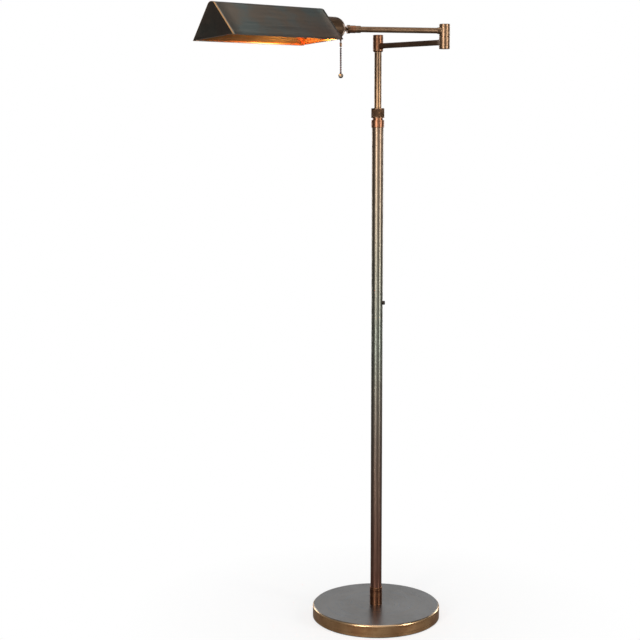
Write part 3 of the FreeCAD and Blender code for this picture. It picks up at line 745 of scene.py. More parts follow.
@dataclass(frozen=True)
class BaseBronze(Bronze):
    """The base's plate: grey like pewter on its top and copper round its rim."""

    rim: Colour = (0.5, 0.235, 0.1, 1.0)
    rim_light: Colour = (0.8, 0.46, 0.22, 1.0)
    rim_top: float = 24.6 * MM
    rim_fade: float = 0.8 * MM
    speckle_scale: float = 30.0
    gilt: float = 0.85
    gilt_from: float = 2.6 * MM
    gilt_to: float = 1.2 * MM

    def tinted(self, sheet: Sheet, plate: bpy.types.NodeSocket,
               place: bpy.types.NodeSocket) -> bpy.types.NodeSocket:
        """Colours the rim apart from the top.

        Args:
            sheet: The material's sheet.
            plate: The plate's colour so far.
            place: The piece's own coordinates.

        Returns:
            The plate's colour, with copper below the top edge.
        """
        height = sheet.add("ShaderNodeSeparateXYZ", {"Vector": place}).outputs["Z"]
        speckle = sheet.mapped(sheet.noise(place, self.speckle_scale), *NOISE_FIRM)
        tone = sheet.mixed(speckle, self.rim, self.rim_light)
        edge = sheet.mapped(height, self.rim_top - self.gilt_from, self.rim_top - self.gilt_to, 0.0,
                            self.gilt)
        tone = sheet.mixed(edge, tone, GOLD_EDGE)
        return sheet.mixed(sheet.mapped(height, self.rim_top, self.rim_top + self.rim_fade), tone, plate)


@dataclass(frozen=True)
class ShadeBronze(Bronze):
    """The shade's plate: grey green, with a red cast low down near the cup and gilt at the free end."""

    green: Colour = (0.2, 0.165, 0.13, 1.0)
    teal: Colour = (0.16, 0.195, 0.185, 1.0)
    red: Colour = (0.25, 0.115, 0.07, 1.0)
    gold: Colour = (0.42, 0.21, 0.075, 1.0)
    gilt: float = 0.9
    gilt_width: float = 2.6 * MM
    red_from: float = 0.3
    red_height: float = 0.8
    cloud_scale: float = 14.0
    drift_scale: float = 22.0
    tone_share: float = 0.8

    def tinted(self, sheet: Sheet, plate: bpy.types.NodeSocket,
               place: bpy.types.NodeSocket) -> bpy.types.NodeSocket:
        """Colours the plate by its place on the shade.

        Args:
            sheet: The material's sheet.
            plate: The plate's colour so far.
            place: The piece's own coordinates.

        Returns:
            The plate's colour with its green and red casts.
        """
        low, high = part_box("shade_canopy")
        parts = sheet.add("ShaderNodeSeparateXYZ", {"Vector": place}).outputs
        near_cup = sheet.mapped(parts["X"], low.x + self.red_from * (high.x - low.x), high.x)
        near_rim = sheet.mapped(parts["Z"], low.z, low.z + self.red_height * (high.z - low.z), 1.0, 0.0)
        cloud = sheet.mapped(sheet.noise(place, self.cloud_scale, 3.0), *NOISE_FIRM, 0.45)
        share = sheet.maths("MULTIPLY", sheet.maths("MULTIPLY", near_cup, near_rim), cloud)
        drift = sheet.mapped(sheet.noise(place, self.drift_scale), 0.4, 0.62)
        tone = sheet.mixed(share, sheet.mixed(drift, self.green, self.teal), self.red)
        toned = sheet.mixed(self.tone_share, plate, tone)
        edge = sheet.mapped(parts["X"], low.x + self.gilt_width, low.x + 0.7 * self.gilt_width, 0.0,
                            self.gilt)
        return sheet.mixed(edge, toned, self.gold)


@dataclass(frozen=True)
class ShadeLining(Bronze):
    """The shade's inside: bright copper, with painted shade that darkens it towards the free end, far from
    the bulb.
    """

    # Painted shade: the lining's colour darkens towards the free end, where the bulb's light grows weak.
    painted_shade_colour: Colour = (0.1, 0.04, 0.018, 1.0)
    painted_shade_share: float = 0.85
    painted_shade_reach: float = 0.75

    def tinted(self, sheet: Sheet, plate: bpy.types.NodeSocket,
               place: bpy.types.NodeSocket) -> bpy.types.NodeSocket:
        """Darkens the plate towards the shade's free end.

        Args:
            sheet: The material's sheet.
            plate: The plate's colour so far.
            place: The piece's own coordinates.

        Returns:
            The plate's colour with painted shade towards its free end.
        """
        low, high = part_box("shade_canopy")
        reach = sheet.add("ShaderNodeSeparateXYZ", {"Vector": place}).outputs["X"]
        # The painted shade's share, full at the free end and none from the given reach onwards.
        share = sheet.mapped(reach, low.x, low.x + self.painted_shade_reach * (high.x - low.x), self.painted_shade_share, 0.0)
        return sheet.mixed(share, plate, self.painted_shade_colour)


@dataclass(frozen=True)
class Plain:
    """A moulded, woven or painted finish: a mottled colour with a fine surface."""

    name: str
    dark: Colour
    light: Colour
    roughness: float = 0.6
    scale: float = 400.0
    bump: float = 0.2
    depth: float = 0.1 * MM
    metallic: float = 0.0
    broad_scale: float = 0.06
    smoother: float = 0.06
    rougher: float = 0.08
    stretch: tuple[float, float, float] = (1.0, 1.0, 1.0)

    def build(self) -> bpy.types.Material:
        """Builds the material.

        Returns:
            The finished material.
        """
        sheet, shader, material = open_material(self.name)
        place = sheet.add("ShaderNodeTexCoord", {}).outputs["Object"]
        place = sheet.add("ShaderNodeMapping", {"Vector": place, "Scale": self.stretch}).outputs[0]
        fine = sheet.noise(place, self.scale, 5.0)
        broad = sheet.noise(place, self.scale * self.broad_scale, 3.0)
        share = sheet.mapped(sheet.maths("MULTIPLY", sheet.maths("ADD", fine, broad), 0.5), *NOISE_FIRM)
        sheet.tree.links.new(sheet.mixed(share, self.dark, self.light), shader.inputs["Base Color"])
        rough = sheet.mapped(fine, *NOISE_SOFT, self.roughness - self.smoother,
                             self.roughness + self.rougher)
        sheet.tree.links.new(rough, shader.inputs["Roughness"])
        bump = sheet.add("ShaderNodeBump", {"Strength": self.bump, "Distance": self.depth, "Height": fine})
        sheet.tree.links.new(bump.outputs[0], shader.inputs["Normal"])
        shader.inputs["Metallic"].default_value = self.metallic
        return material


@dataclass(frozen=True)
class OpalGlow:
    """Lit opal glass, brightest round its middle."""

    name: str = "bulb_opal_glow"
    strength: float = 46.0
    cool_end: Colour = (1.0, 0.62, 0.28, 1.0)
    hot_middle: Colour = (1.0, 0.84, 0.56, 1.0)
    half_length: float = 42.0 * MM
    even_share: float = 0.2
    cloud_scale: float = 70.0
    cloud: float = 0.12
    glass: Colour = (0.9, 0.86, 0.78, 1.0)
    glass_cloudy: Colour = (0.82, 0.76, 0.66, 1.0)
    roughness: float = 0.35

    def build(self) -> bpy.types.Material:
        """Builds the material.

        Returns:
            The finished material.
        """
        sheet, shader, material = open_material(self.name)
        place = sheet.add("ShaderNodeTexCoord", {}).outputs["Object"]
        parts = sheet.add("ShaderNodeSeparateXYZ", {"Vector": place}).outputs
        off = sheet.maths("ABSOLUTE", sheet.maths("SUBTRACT", parts["X"], box_centre("bulb_glass").x))
        share = sheet.mapped(off, self.even_share * self.half_length, self.half_length)
        cloud = sheet.mapped(sheet.noise(place, self.cloud_scale, 3.0), *NOISE_SOFT, 0.0, self.cloud)
        glow = sheet.mixed(sheet.maths("ADD", share, cloud), self.hot_middle, self.cool_end)
        sheet.tree.links.new(glow, shader.inputs["Emission Color"])
        shader.inputs["Emission Strength"].default_value = self.strength
        body = sheet.mixed(sheet.mapped(cloud, 0.0, self.cloud), self.glass, self.glass_cloudy)
        sheet.tree.links.new(body, shader.inputs["Base Color"])
        shader.inputs["Roughness"].default_value = self.roughness
        return material


class Finishes:
    """All the lamp's materials, each built once."""

    def __init__(self) -> None:
        """Builds the shared effects and every finish."""
        Effects.build()
        elbow = joint_place("elbow_swing")
        dark_bronze = dict(dark=(0.075, 0.042, 0.026, 1.0), light=(0.17, 0.1, 0.062, 1.0), worn=COPPER_EDGE)
        warm_bronze = dict(dark=(0.11, 0.06, 0.036, 1.0), light=(0.22, 0.13, 0.078, 1.0), worn=GOLD_EDGE)
        copper = dict(dark=(0.13, 0.052, 0.03, 1.0), light=(0.26, 0.115, 0.062, 1.0), worn=COPPER_EDGE)
        deep_copper = dict(dark=(0.08, 0.028, 0.015, 1.0), light=(0.16, 0.062, 0.032, 1.0), worn=COPPER_EDGE)
        self.base = BaseBronze("base_brushed_bronze", (0.078, 0.093, 0.106, 1.0), (0.135, 0.156, 0.176, 1.0),
                               GOLD_EDGE, grain=Grain.RINGS, grain_scale=1500.0, roughness=0.3,
                               edge_width=1.4 * MM, edge_amount=0.9, dust=0.08, patch_scale=11.0).build()
        self.pole = PoleBronze("pole_bronze_brushed", (0.12, 0.1, 0.08, 1.0), (0.2, 0.17, 0.135, 1.0),
                               COPPER_EDGE, grain=Grain.UPRIGHT, grain_scale=420.0, roughness=0.33,
                               streak=0.12, patch_scale=9.0).build()
        self.ferrule = Bronze("ferrule_copper_turned", **deep_copper, grain=Grain.RINGS,
                              roughness=0.36).build()
        self.collar = Bronze("collar_copper_turned", **copper, grain=Grain.RINGS, roughness=0.36).build()
        self.knurl = Bronze("lock_knurled_bronze", **dark_bronze, roughness=0.34, edge_width=0.25 * MM,
                            edge_amount=0.7).build()
        self.stem = PoleBronze("stem_bronze_brushed", **warm_bronze, grain=Grain.UPRIGHT, grain_scale=420.0,
                               roughness=0.34, streak=0.2, middle=(0.3, 0.175, 0.09, 1.0),
                               top=(0.11, 0.072, 0.046, 1.0), top_from=0.99, top_at=1.08).build()
        self.pivot = Bronze("pivot_bronze_turned", **deep_copper, grain=Grain.RINGS, roughness=0.37).build()
        self.elbow = Bronze("elbow_bronze_turned", **warm_bronze, grain=Grain.RINGS, roughness=0.36,
                            centre=elbow).build()
        self.lower_arm = Bronze("lower_arm_bronze", **dark_bronze, grain=Grain.LENGTHWISE, roughness=0.36,
                                turn_deg=LOWER_ARM_DEG).build()
        self.upper_arm = Bronze("upper_arm_bronze", **warm_bronze, grain=Grain.LENGTHWISE, roughness=0.38,
                                turn_deg=UPPER_ARM_DEG).build()
        self.swivel_copper = Bronze("swivel_copper_turned", **copper, roughness=0.35).build()
        self.swivel_dark = Bronze("swivel_dark_ring", **dark_bronze, roughness=0.3).build()
        self.cup = Bronze("cup_bronze_spun", **warm_bronze, grain=Grain.LENGTHWISE, roughness=0.33).build()
        self.boss = Bronze("boss_bronze_turned", **warm_bronze, roughness=0.3).build()
        self.shade = ShadeBronze("shade_bronze_brushed", (0.07, 0.068, 0.062, 1.0), (0.14, 0.13, 0.118, 1.0),
                                 GOLD_EDGE, grain=Grain.LENGTHWISE, grain_scale=420.0, streak=0.1,
                                 roughness=0.36, patch_scale=13.0, edge_width=0.6 * MM, edge_amount=1.0,
                                 dust=0.04).build()
        # Painted shade: a darker copy of the shade's own finish, used for the free end plate alone.
        self.free_end_shaded_copy = ShadeBronze("shade_end_bronze_painted_shade", (0.06, 0.048, 0.038, 1.0), (0.11, 0.09, 0.072, 1.0),
                                     GOLD_EDGE, grain=Grain.LENGTHWISE, grain_scale=420.0, streak=0.1,
                                     roughness=0.38, patch_scale=13.0, edge_width=0.6 * MM, dust=0.03,
                                     green=(0.1, 0.08, 0.066, 1.0), teal=(0.075, 0.078, 0.07, 1.0),
                                     gilt=0.0).build()
        self.shade_inside = ShadeLining("shade_inside_copper", (0.5, 0.19, 0.04, 1.0),
                                        (0.7, 0.31, 0.075, 1.0), GOLD_EDGE, grain=Grain.LENGTHWISE,
                                        grain_scale=600.0, roughness=0.42, streak=0.3,
                                        edge_amount=0.3).build()
        self.chain = Bronze("chain_bronze_beads", (0.05, 0.028, 0.028, 1.0), (0.11, 0.062, 0.06, 1.0),
                            (0.25, 0.15, 0.14, 1.0), roughness=0.34, patch_scale=120.0).build()
        self.ball = Bronze("pull_ball_satin", (0.24, 0.19, 0.145, 1.0), (0.34, 0.28, 0.215, 1.0), GOLD_EDGE,
                           roughness=0.34, patch_scale=90.0).build()
        self.screw = Bronze("screw_black_oxide", (0.02, 0.018, 0.016, 1.0), (0.05, 0.043, 0.038, 1.0),
                            (0.3, 0.22, 0.16, 1.0), roughness=0.4).build()
        self.steel = Bronze("plated_steel_satin", (0.42, 0.41, 0.39, 1.0), (0.56, 0.55, 0.52, 1.0),
                            (0.7, 0.69, 0.66, 1.0), roughness=0.32, patch_scale=40.0).build()
        self.brass = Bronze("contact_brass_drawn", (0.5, 0.34, 0.13, 1.0), (0.68, 0.48, 0.2, 1.0),
                            (0.8, 0.62, 0.32, 1.0), roughness=0.28).build()
        self.iron = Plain("ballast_iron_cast", (0.05, 0.05, 0.052, 1.0), (0.13, 0.13, 0.135, 1.0),
                          roughness=0.7, scale=500.0, bump=0.5, depth=0.3 * MM, metallic=0.8).build()
        self.felt = Plain("pad_felt_black", (0.008, 0.008, 0.009, 1.0), (0.03, 0.029, 0.03, 1.0),
                          roughness=0.95, scale=1800.0, bump=0.8, depth=0.3 * MM).build()
        self.rubber = Plain("grommet_rubber_black", (0.012, 0.012, 0.013, 1.0), (0.03, 0.03, 0.031, 1.0),
                            roughness=0.62, scale=900.0).build()
        self.holder = Plain("holder_brown_moulded", (0.035, 0.016, 0.01, 1.0), (0.07, 0.034, 0.02, 1.0),
                            roughness=0.4, scale=300.0).build()
        self.nylon = Plain("bushing_nylon_white", (0.55, 0.54, 0.5, 1.0), (0.7, 0.69, 0.65, 1.0),
                           roughness=0.5, scale=500.0).build()
        self.sleeve = Plain("cord_sleeve_woven", (0.05, 0.045, 0.04, 1.0), (0.12, 0.11, 0.1, 1.0),
                            roughness=0.8, scale=1500.0, bump=0.6, depth=0.2 * MM,
                            stretch=(1.0, 1.0, 0.4)).build()
        self.glow = OpalGlow().build()


def dress(material: bpy.types.Material, *nodes: str) -> None:
    """Gives CAD nodes a material.

    Args:
        material: The finish.
        nodes: The CAD nodes' names.
    """
    for name in nodes:
        mesh = frame["nodes"][name].data
        mesh.materials.clear()
        mesh.materials.append(material)
        LOG.info("dressed %s in %s", name, material.name)


def seat(piece: bpy.types.Object, material: bpy.types.Material, body: str, slot: str,
         *replaced: str) -> bpy.types.Object:
    """Gives a new piece its finish and its body, and hides the CAD nodes that it stands for.

    Args:
        piece: The finished piece.
        material: Its finish.
        body: The body that it rides on.
        slot: The record's material slot; not used.
        replaced: The CAD nodes that it stands for.

    Returns:
        The same piece.
    """
    if not piece.data.materials:
        piece.data.materials.append(material)
    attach(piece, body)
    if replaced:
        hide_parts(*replaced)
    LOG.info("piece %s rides on %s", piece.name, body)
    return piece


# ---- Studio -------------------------------------------------------------------------------------

@dataclass
class Camera:
    """The camera, level with the shade's lower half and turned to the lamp's left front."""

    place: tuple[float, float, float] = (-1.96466, -1.90127, 0.9857)
    heading_deg: float = 46.363
    down_deg: float = 8.166
    roll_deg: float = -0.105
    lens: float = 80.55
    sensor: float = 36.0

    def build(self) -> bpy.types.Object:
        """Builds the camera and makes it the scene's own.

        Returns:
            The camera.
        """
        data = bpy.data.cameras.new("view_camera")
        data.lens, data.sensor_width = self.lens, self.sensor
        camera = bpy.data.objects.new("view_camera", data)
        bpy.context.scene.collection.objects.link(camera)
        heading, down = math.radians(self.heading_deg), math.radians(self.down_deg)
        level = math.cos(down)
        looking = Vector((math.cos(heading) * level, math.sin(heading) * level, -math.sin(down)))
        turn = looking.to_track_quat("-Z", "Y").to_matrix().to_4x4()
        roll = Matrix.Rotation(math.radians(self.roll_deg), 4, "Z")
        camera.matrix_world = Matrix.Translation(self.place) @ turn @ roll
        bpy.context.scene.camera = camera
        return camera


@dataclass
class Studio:
    """A pale floor that fades into a white surround, and soft lights."""

    floor_radius: float = 9.0
    fade_start: float = 0.14
    fade_end: float = 0.5
    shadow_share: float = 0.72
    surround: float = 0.16
    surround_blue: float = 1.02
    floor_drop: float = 0.2 * MM
    floor_dark: Colour = (0.93, 0.93, 0.93, 1.0)
    floor_light: Colour = (0.95, 0.95, 0.95, 1.0)
    floor_scale: float = 60.0
    floor_roughness: float = 0.9

    def build(self) -> None:
        """Builds the floor, the surround and the lights."""
        self.build_surround()
        self.build_floor()
        middle, low = (0, 0, 0.8), (0, 0, 0.6)
        self.area("left_strip", place=(-3.03, -1.02, 1.0), target=middle, size=(0.62, 2.4), power=74.0)
        self.area("right_strip", place=(0.61, -3.14, 1.0), target=middle, size=(0.55, 2.4), power=66.0)
        self.area("front_card", place=(-2.95, -2.85, 0.7), target=low, size=(1.9, 1.5), power=18.0)
        self.area("top_soft", place=(-0.4, -0.4, 3.2), target=low, size=(2.4, 2.4), power=30.0)
        self.area("back_card", place=(2.6, 2.6, 2.1), target=(0, 0, 0.2), size=(3.4, 1.5), power=20.0)
        self.area("rear_left_strip", place=(0.33, 3.18, 1.0), target=middle, size=(0.6, 2.4), power=26.0)
        self.area("rear_right_strip", place=(3.19, 0.22, 1.0), target=middle, size=(0.6, 2.4), power=26.0)

    def build_surround(self) -> None:
        """Builds a world that the camera sees as white and the metal sees as dim."""
        world = bpy.data.worlds.new("studio_surround")
        world.use_nodes = True
        bpy.context.scene.world = world
        bpy.context.scene.view_settings.view_transform = "Standard"
        sheet = Sheet(world.node_tree)
        back = world.node_tree.nodes["Background"]
        path = sheet.add("ShaderNodeLightPath", {}).outputs["Is Camera Ray"]
        dim = (self.surround, self.surround, self.surround * self.surround_blue, 1.0)
        sheet.tree.links.new(sheet.mixed(path, dim, WHITE), back.inputs["Color"])

    def build_floor(self) -> None:
        """Builds the floor, which keeps a soft shadow near the base and is white further out."""
        deselect_all()
        bpy.ops.mesh.primitive_circle_add(vertices=96, radius=self.floor_radius, fill_type="NGON",
                                          location=(0, 0, -self.floor_drop))
        floor = bpy.context.active_object
        floor.name = "studio_floor"
        sheet, shader, material = open_material("studio_floor_white")
        place = sheet.add("ShaderNodeTexCoord", {}).outputs["Object"]
        reach = sheet.add("ShaderNodeVectorMath", {0: place}, operation="LENGTH").outputs["Value"]
        speck = sheet.mapped(sheet.noise(place, self.floor_scale), *NOISE_SOFT)
        speck = sheet.mixed(speck, self.floor_dark, self.floor_light)
        sheet.tree.links.new(speck, shader.inputs["Base Color"])
        shader.inputs["Roughness"].default_value = self.floor_roughness
        white = sheet.add("ShaderNodeEmission", {"Color": WHITE, "Strength": 1.0}).outputs[0]
        dim = sheet.add("ShaderNodeEmission", {"Color": WHITE, "Strength": self.surround}).outputs[0]
        share = sheet.mapped(reach, self.fade_start, self.fade_end, self.shadow_share, 1.0)
        seen = sheet.add("ShaderNodeMixShader", {0: share, 1: shader.outputs[0], 2: white}).outputs[0]
        path = sheet.add("ShaderNodeLightPath", {}).outputs["Is Camera Ray"]
        mixed = sheet.add("ShaderNodeMixShader", {0: path, 1: dim, 2: seen}).outputs[0]
        output = next(node for node in sheet.tree.nodes if node.type == "OUTPUT_MATERIAL")
        sheet.tree.links.new(mixed, output.inputs["Surface"])
        floor.data.materials.append(material)

    def area(self, name: str, place: tuple[float, float, float], target: tuple[float, float, float],
             size: tuple[float, float], power: float) -> None:
        """Builds one soft light.

        Args:
            name: The light's name.
            place: Where it stands.
            target: Where it points.
            size: Its width and height.
            power: Its power in watts.
        """
        data = bpy.data.lights.new(name, "AREA")
        data.shape = "RECTANGLE"
        data.size, data.size_y = size
        data.energy = power
        light = bpy.data.objects.new(name, data)
        bpy.context.scene.collection.objects.link(light)
        looking = Vector(target) - Vector(place)
        light.matrix_world = Matrix.Translation(place) @ looking.to_track_quat("-Z", "Y").to_matrix().to_4x4()
        light.visible_camera = False


# ---- Sub-assemblies -----------------------------------------------------------------------------

class Base:
    """The round weighted base with its turned cover."""

    def dress(self, finishes: Finishes) -> None:
        """Gives the base's CAD nodes their finishes.

        Args:
            finishes: The lamp's finishes.
        """
        dress(finishes.base, "base_cover")
        dress(finishes.felt, "base_pad")
        dress(finishes.iron, "base_weight")
        dress(finishes.steel, "base_plate", "base_nipple", "base_washer", "base_nut")
        dress(finishes.rubber, "cord_grommet")


@dataclass
class Pole:
    """The two-part pole with its foot ferrule and its cross screw."""

    screw_deg: float = -45.0
    head_radius: float = 3.8 * MM
    head_height: float = 4.2 * MM
    dome: float = 1.5 * MM
    shank_radius: float = 2.0 * MM
    shank_length: float = 3.0 * MM
    pole_radius: float = 11.0 * MM
    slot_width: float = 0.9 * MM
    slot_depth: float = 1.1 * MM

    def build_screw(self) -> bpy.types.Object:
        """Builds the slotted screw with its domed head.

        Returns:
            The screw.
        """
        radius, top, dome, shank = self.head_radius, self.head_height, self.dome, self.shank_radius
        outline = [(0.0, -self.shank_length), (shank, -self.shank_length), (shank, 0.0), (radius, 0.0),
                   (radius, top - dome)]
        outline += arc((radius - dome, top - dome), dome, 0, 80, steps=5)[1:]
        outline += [(0.0, top)]
        low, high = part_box("pole_screw")
        heading = Matrix.Rotation(math.radians(self.screw_deg), 4, "Z")
        place = Matrix.Translation((0, 0, (low.z + high.z) / 2)) @ heading
        place = along_x(place @ Matrix.Translation((self.pole_radius, 0, 0)))
        screw = turn_piece("pole_screw_slotted", outline, Matrix.Identity(4), sides=40)
        cut_slot(screw, (2.2 * radius, self.slot_width, 2 * self.slot_depth), top)
        return finish_piece(screw, place)

    def dress(self, finishes: Finishes) -> None:
        """Gives the pole its finishes.

        Args:
            finishes: The lamp's finishes.
        """
        dress(finishes.pole, "pole_lower", "pole_upper")
        dress(finishes.ferrule, "pole_ferrule")
        dress(finishes.steel, "pole_coupling", "pole_foot_plug")
        dress(finishes.sleeve, "pole_cord")
        seat(self.build_screw(), finishes.screw, "pole", "screw_black", "pole_screw")


@dataclass
class HeightLock:
    """The collar on the pole's top and the knurled lock collar above it."""

    radius: float = 12.6 * MM
    bore: float = 9.8 * MM
    stem_bore: float = 7.0 * MM
    band_edge: float = 2.4 * MM
    around: int = 46
    rows: int = 9
    tooth: float = 0.32 * MM
    tooth_clear: float = 0.1 * MM
    chamfer: float = 0.7 * MM
    band_slope: float = 0.5 * MM
    band_sink: float = 0.2 * MM
    top_wall: float = 3.0 * MM
    top_slope: float = 0.4 * MM
    facet_deg: float = 5.0

    def build_lock(self) -> bpy.types.Object:
        """Builds the lock collar, a turned body with a band of diamond knurling.

        Returns:
            The lock collar.
        """
        low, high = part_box("lock_collar")
        band_low, band_high = low.z + self.band_edge, high.z - self.band_edge
        root = self.radius - self.tooth - self.tooth_clear
        rim, chamfer, under = self.radius, self.chamfer, high.z - self.top_wall
        outline = [(self.bore, low.z), (rim - chamfer, low.z), (rim, low.z + chamfer)]
        outline += groove(rim, band_low - self.band_slope, band_high + self.band_slope,
                          rim - root + self.band_sink, self.band_slope)
        outline += [(rim, high.z - chamfer), (rim - chamfer, high.z), (self.stem_bore, high.z),
                    (self.stem_bore, under), (self.bore, under - self.top_slope), (self.bore, low.z)]
        body = turn_piece("lock_collar_knurled", outline, Matrix.Identity(4), sides=72)
        band = self.build_band(root, band_low, band_high)
        deselect_all()
        band.select_set(True)
        body.select_set(True)
        bpy.context.view_layer.objects.active = body
        bpy.ops.object.join()
        return body

    def build_band(self, root: float, band_low: float, band_high: float) -> bpy.types.Object:
        """Builds the band of diamonds from a fine tube.

        Each of its faces is poked twice, with the tube's own edges dissolved in between.

        Args:
            root: The radius between the teeth.
            band_low: The band's lower height.
            band_high: The band's upper height.

        Returns:
            The band.
        """
        deselect_all()
        step = (band_high - band_low) / self.rows
        bpy.ops.mesh.primitive_circle_add(vertices=self.around, radius=root, fill_type="NOTHING",
                                          location=(0, 0, band_low))
        band = bpy.context.active_object
        band.name = "knurl_band"
        bpy.ops.object.transform_apply(location=True, rotation=True, scale=True)
        edit(band)
        for _ in range(self.rows):
            bpy.ops.mesh.extrude_edges_move(TRANSFORM_OT_translate={"value": (0, 0, step)})
        bpy.ops.mesh.select_all(action="SELECT")
        bpy.ops.mesh.normals_make_consistent(inside=False)
        bpy.ops.mesh.poke()
        close_edit()
        self.select_square_edges(band, step)
        edit_kept(band)
        bpy.ops.mesh.dissolve_edges(use_verts=False)
        bpy.ops.mesh.select_mode(type="FACE")
        bpy.ops.mesh.select_all(action="SELECT")
        bpy.ops.mesh.poke(offset=self.tooth)
        close_edit()
        return finish_piece(band, Matrix.Identity(4), self.facet_deg)

    def select_square_edges(self, band: bpy.types.Object, step: float) -> None:
        """Selects the band's first edges, which run level or upright, and none of the poked ones.

        Args:
            band: The poked band.
            step: The height of one row.
        """
        edit(band, "DESELECT")
        bpy.ops.mesh.select_mode(type="EDGE")
        close_edit()
        points = band.data.vertices
        ends = (min(v.co.z for v in points), max(v.co.z for v in points))
        near = 0.1 * step
        for edge in band.data.edges:
            a, b = (points[index].co for index in edge.vertices)
            rise = abs(a.z - b.z)
            border = all(min(abs(p.z - end) for end in ends) < near for p in (a, b))
            edge.select = (rise < near or rise > step - near) and not border

    def dress(self, finishes: Finishes) -> None:
        """Gives the height lock its finishes.

        Args:
            finishes: The lamp's finishes.
        """
        dress(finishes.collar, "collar_body")
        dress(finishes.nylon, "collet", "stem_guide")
        seat(self.build_lock(), finishes.knurl, "lock_collar", "knurl_bronze", "lock_collar")


@dataclass
class Arms:
    """The sliding stem, the two swing arms, and their shoulder and elbow pivots."""

    cap_radius: float = 9.6 * MM
    cap_bore: float = 7.8 * MM
    cap_edge: float = 0.9 * MM
    cap_top: float = 1.3 * MM
    groove_from: float = 1.0 * MM
    groove_to: float = 1.6 * MM
    groove_depth: float = 0.25 * MM
    groove_slope: float = 0.15 * MM
    dish_edge: float = 2.2 * MM
    dish_inset: float = 2.6 * MM
    dish_depth: float = 0.25 * MM
    crown_drop: float = 0.1 * MM

    def build_cap(self, name: str, node: str, outward: int, axis: Vector) -> bpy.types.Object:
        """Builds a pivot cap with a rounded rim, a fine groove and a shallow dished top.

        Args:
            name: The cap's name.
            node: The CAD node that it stands for.
            outward: 1 for a cap that closes upwards, -1 for one that closes downwards.
            axis: A point on the pivot's axis.

        Returns:
            The cap.
        """
        low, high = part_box(node)
        height = high.z - low.z
        radius, edge, under = self.cap_radius, self.cap_edge, height - self.cap_top
        outline = [(self.cap_bore, 0.0), (radius, 0.0)]
        outline += groove(radius, self.groove_from, self.groove_to, self.groove_depth, self.groove_slope)
        outline += [(radius, height - edge)]
        outline += arc((radius - edge, height - edge), edge, 0, 90, steps=6)[1:]
        outline += [(radius - self.dish_edge, height), (radius - self.dish_inset, height - self.dish_depth),
                    (0.0, height - self.crown_drop)]
        outline += [(0.0, under), (self.cap_bore, under), (self.cap_bore, 0.0)]
        place = Matrix.Translation((axis.x, axis.y, low.z if outward > 0 else high.z))
        if outward < 0:
            place = place @ Matrix.Rotation(math.pi, 4, "X")
        return turn_piece(name, outline, place, sides=72)

    def dress(self, finishes: Finishes) -> None:
        """Gives the arms and pivots their finishes.

        Args:
            finishes: The lamp's finishes.
        """
        elbow = joint_place("elbow_swing")
        dress(finishes.stem, "stem")
        dress(finishes.pivot, "pivot_spindle", "pivot_barrel")
        dress(finishes.elbow, "elbow_lower_knuckle", "elbow_upper_knuckle")
        dress(finishes.steel, "pivot_nut", "elbow_nut", "elbow_spindle")
        dress(finishes.swivel_dark, "pivot_thrust_washer", "elbow_thrust_washer")
        dress(finishes.lower_arm, "lower_arm_tube")
        dress(finishes.upper_arm, "upper_arm_tube", "arm_ferrule")
        seat(self.build_cap("pivot_cap_turned", "pivot_cap", 1, Vector((0, 0, 0))), finishes.pivot,
             "lower_arm", "pivot_bronze", "pivot_cap")
        seat(self.build_cap("elbow_cap_top_turned", "elbow_top_cap", 1, elbow), finishes.elbow,
             "upper_arm", "pivot_bronze", "elbow_top_cap")
        seat(self.build_cap("elbow_cap_bottom_turned", "elbow_bottom_cap", -1, elbow), finishes.elbow,
             "lower_arm", "pivot_bronze", "elbow_bottom_cap")


# The candle glass: (share of its length, share of its radius), from the foot to the tip.
CANDLE = ((0.0, 0.37), (0.05, 0.42), (0.1, 0.52), (0.16, 0.66), (0.23, 0.82), (0.31, 0.95), (0.4, 1.0),
          (0.49, 0.965), (0.58, 0.86), (0.68, 0.7), (0.78, 0.5), (0.88, 0.28), (0.95, 0.13), (1.0, 0.0))

# The bulb cap's solder tip, as (radius, height) points.
SOLDER_TIP = ((0.0, 0.0), (2.0 * MM, 0.0), (3.0 * MM, 1.0 * MM), (6.0 * MM, 3.0 * MM))


